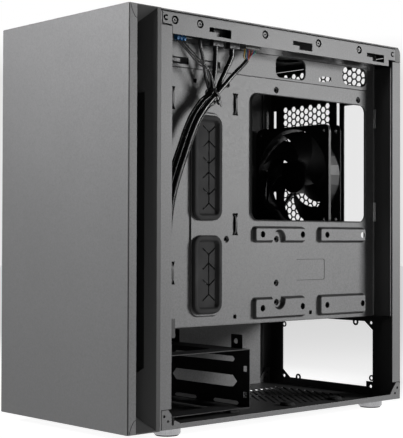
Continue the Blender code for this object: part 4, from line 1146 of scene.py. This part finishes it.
def blade(solid, centre, front, back, turn):
    """One swept, pitched blade, thickest in its middle."""
    root = HUB_RADIUS - 0.0015
    across, along = 14, 12
    layers = []
    for side in (-1, 1):
        grid = []
        for i in range(across + 1):
            reach = i / across
            radius = root + (BLADE_TIP - root) * reach
            row = []
            for j in range(along + 1):
                share = j / along
                width = BLADE_WIDTH - BLADE_TAPER * reach
                angle = math.radians(turn + BLADE_SWEEP * reach + width * share)
                curl = share * 0.75 + share**2 * 0.25
                y = back - (back - front) * (0.08 + 0.84 * curl)
                y += side * (0.0003 + 0.0005 * math.sin(math.pi * share))
                a, b = radius * math.cos(angle), radius * math.sin(angle)
                row.append(solid.verts.new((centre.x + a, y, centre.z + b)))
            grid.append(row)
        layers.append(grid)
    for grid in layers:
        for i in range(across):
            for j in range(along):
                solid.faces.new((grid[i][j], grid[i + 1][j], grid[i + 1][j + 1], grid[i][j + 1]))
    near, far = layers
    border = [(0, j) for j in range(along)] + [(i, along) for i in range(across)]
    border += [(across, j) for j in range(along, 0, -1)] + [(i, 0) for i in range(across, 0, -1)]
    for (a, b), (c, d) in zip(border, border[1:] + border[:1]):
        solid.faces.new((near[a][b], near[c][d], far[c][d], far[a][b]))


# ---- nodes that keep their CAD shape

SOFTENED = {  # width of the rounded edges, and the nodes that have them
    0.00015: ["drive_cage", "front_chassis_panel", "floor_panel", "power_supply_shroud"],
    0.0002: ["left_side_panel", "usb_port_front", "usb_port_rear", "card_reader", "cable_tie"],
    0.0003: [
        "top_cover", "io_panel", "media_plug", "reset_button", "front_fan_frame", "rear_fan_frame",
        "front_dust_filter", "bottom_dust_filter",
    ],
    0.00035: ["door_skin"],
    0.0004: ["door_frame", "media_header_plug", "audio_header_plug", "switch_header_plug", "power_button"],
    0.0005: ["front_bezel", "usb_header_plug"],
    0.0008: ["door_damping_sheet", "side_panel_damping_sheet"],
}
# Nodes whose finish is not the one that their slot names
SPECIAL = {
    "floor_panel": "floor_paint",
    "front_bezel": "bezel_plastic",
    "left_side_panel": "left_panel_paint",
    "usb_port_front": "port_metal",
    "usb_port_rear": "port_metal",
}


def carried_over():
    for name, node in NODES.items():
        if node.hide_render:
            continue
        node.data.materials.clear()
        node.data.materials.append(material(SPECIAL.get(name, SLOT_OF[name])))
        node.modifiers.new("weld", "WELD").merge_threshold = 0.00001
        for width, names in SOFTENED.items():
            if name in names:
                bevel(node, width)


# ---- studio


SKY_FILL = 0.018
LIGHTS = {  # place, aim, size, watts, spread of the beam in degrees
    "side_light": ((1.05, 0.9, 0.52), (0.08, -0.04, 0.06), (0.4, 0.45), 2.5, 72),
    "front_light": ((-0.15, -1.45, 0.85), (0.03, -0.2, 0.56), (0.9, 0.4), 4.6, 48),
}


def emitter(tree, strength):
    return add(tree, "Background", {"Color": (1, 1, 1, 1), "Strength": strength}).outputs[0]


def sky():
    """A dim sky lights the case; the camera sees a bright backdrop that pales towards the horizon."""
    world = bpy.data.worlds.new("studio")
    bpy.context.scene.world = world
    world.use_nodes = True
    tree = world.node_tree
    tree.nodes.clear()
    height = axis_of(tree, add(tree, "TexCoord").outputs["Generated"], "Z")
    pale = spread(tree, height, 0.8, 1.0, (0.13, 0.165))
    seen = add(tree, "LightPath").outputs["Is Camera Ray"]
    mixed = add(tree, "MixShader", {0: seen, 1: emitter(tree, SKY_FILL), 2: emitter(tree, pale)})
    output = add(tree, "OutputWorld")
    tree.links.new(mixed.outputs[0], output.inputs["Surface"])


def softbox(name, place, aim, size, watts, beam):
    light = bpy.data.lights.new(name, "AREA")
    light.spread = math.radians(beam)
    light.shape = "RECTANGLE"
    light.size, light.size_y = size
    light.energy = watts
    lamp = in_scene(name, light)
    lamp.location = place
    lamp.rotation_euler = (Vector(aim) - Vector(place)).to_track_quat("-Z", "Y").to_euler()


def studio_floor():
    """A wide plane that throws no light back up."""
    floor = bmesh.new()
    bmesh.ops.create_grid(floor, x_segments=1, y_segments=1, size=6)
    mesh = bpy.data.meshes.new("studio_floor")
    floor.to_mesh(mesh)
    floor.free()
    mesh.materials.append(material("studio_floor"))
    piece = in_scene("studio_floor", mesh)
    piece.visible_diffuse = False


def studio():
    sky()
    for name, values in LIGHTS.items():
        softbox(name, *values)
    studio_floor()
    bpy.context.scene.view_settings.view_transform = "Standard"


camera()
cords()
tray()
roof()
rear()
screw_rims()
eyelets()
grommets()
return_tabs()
door_seams()
rotor("rear")
rotor("front")
carried_over()
studio()
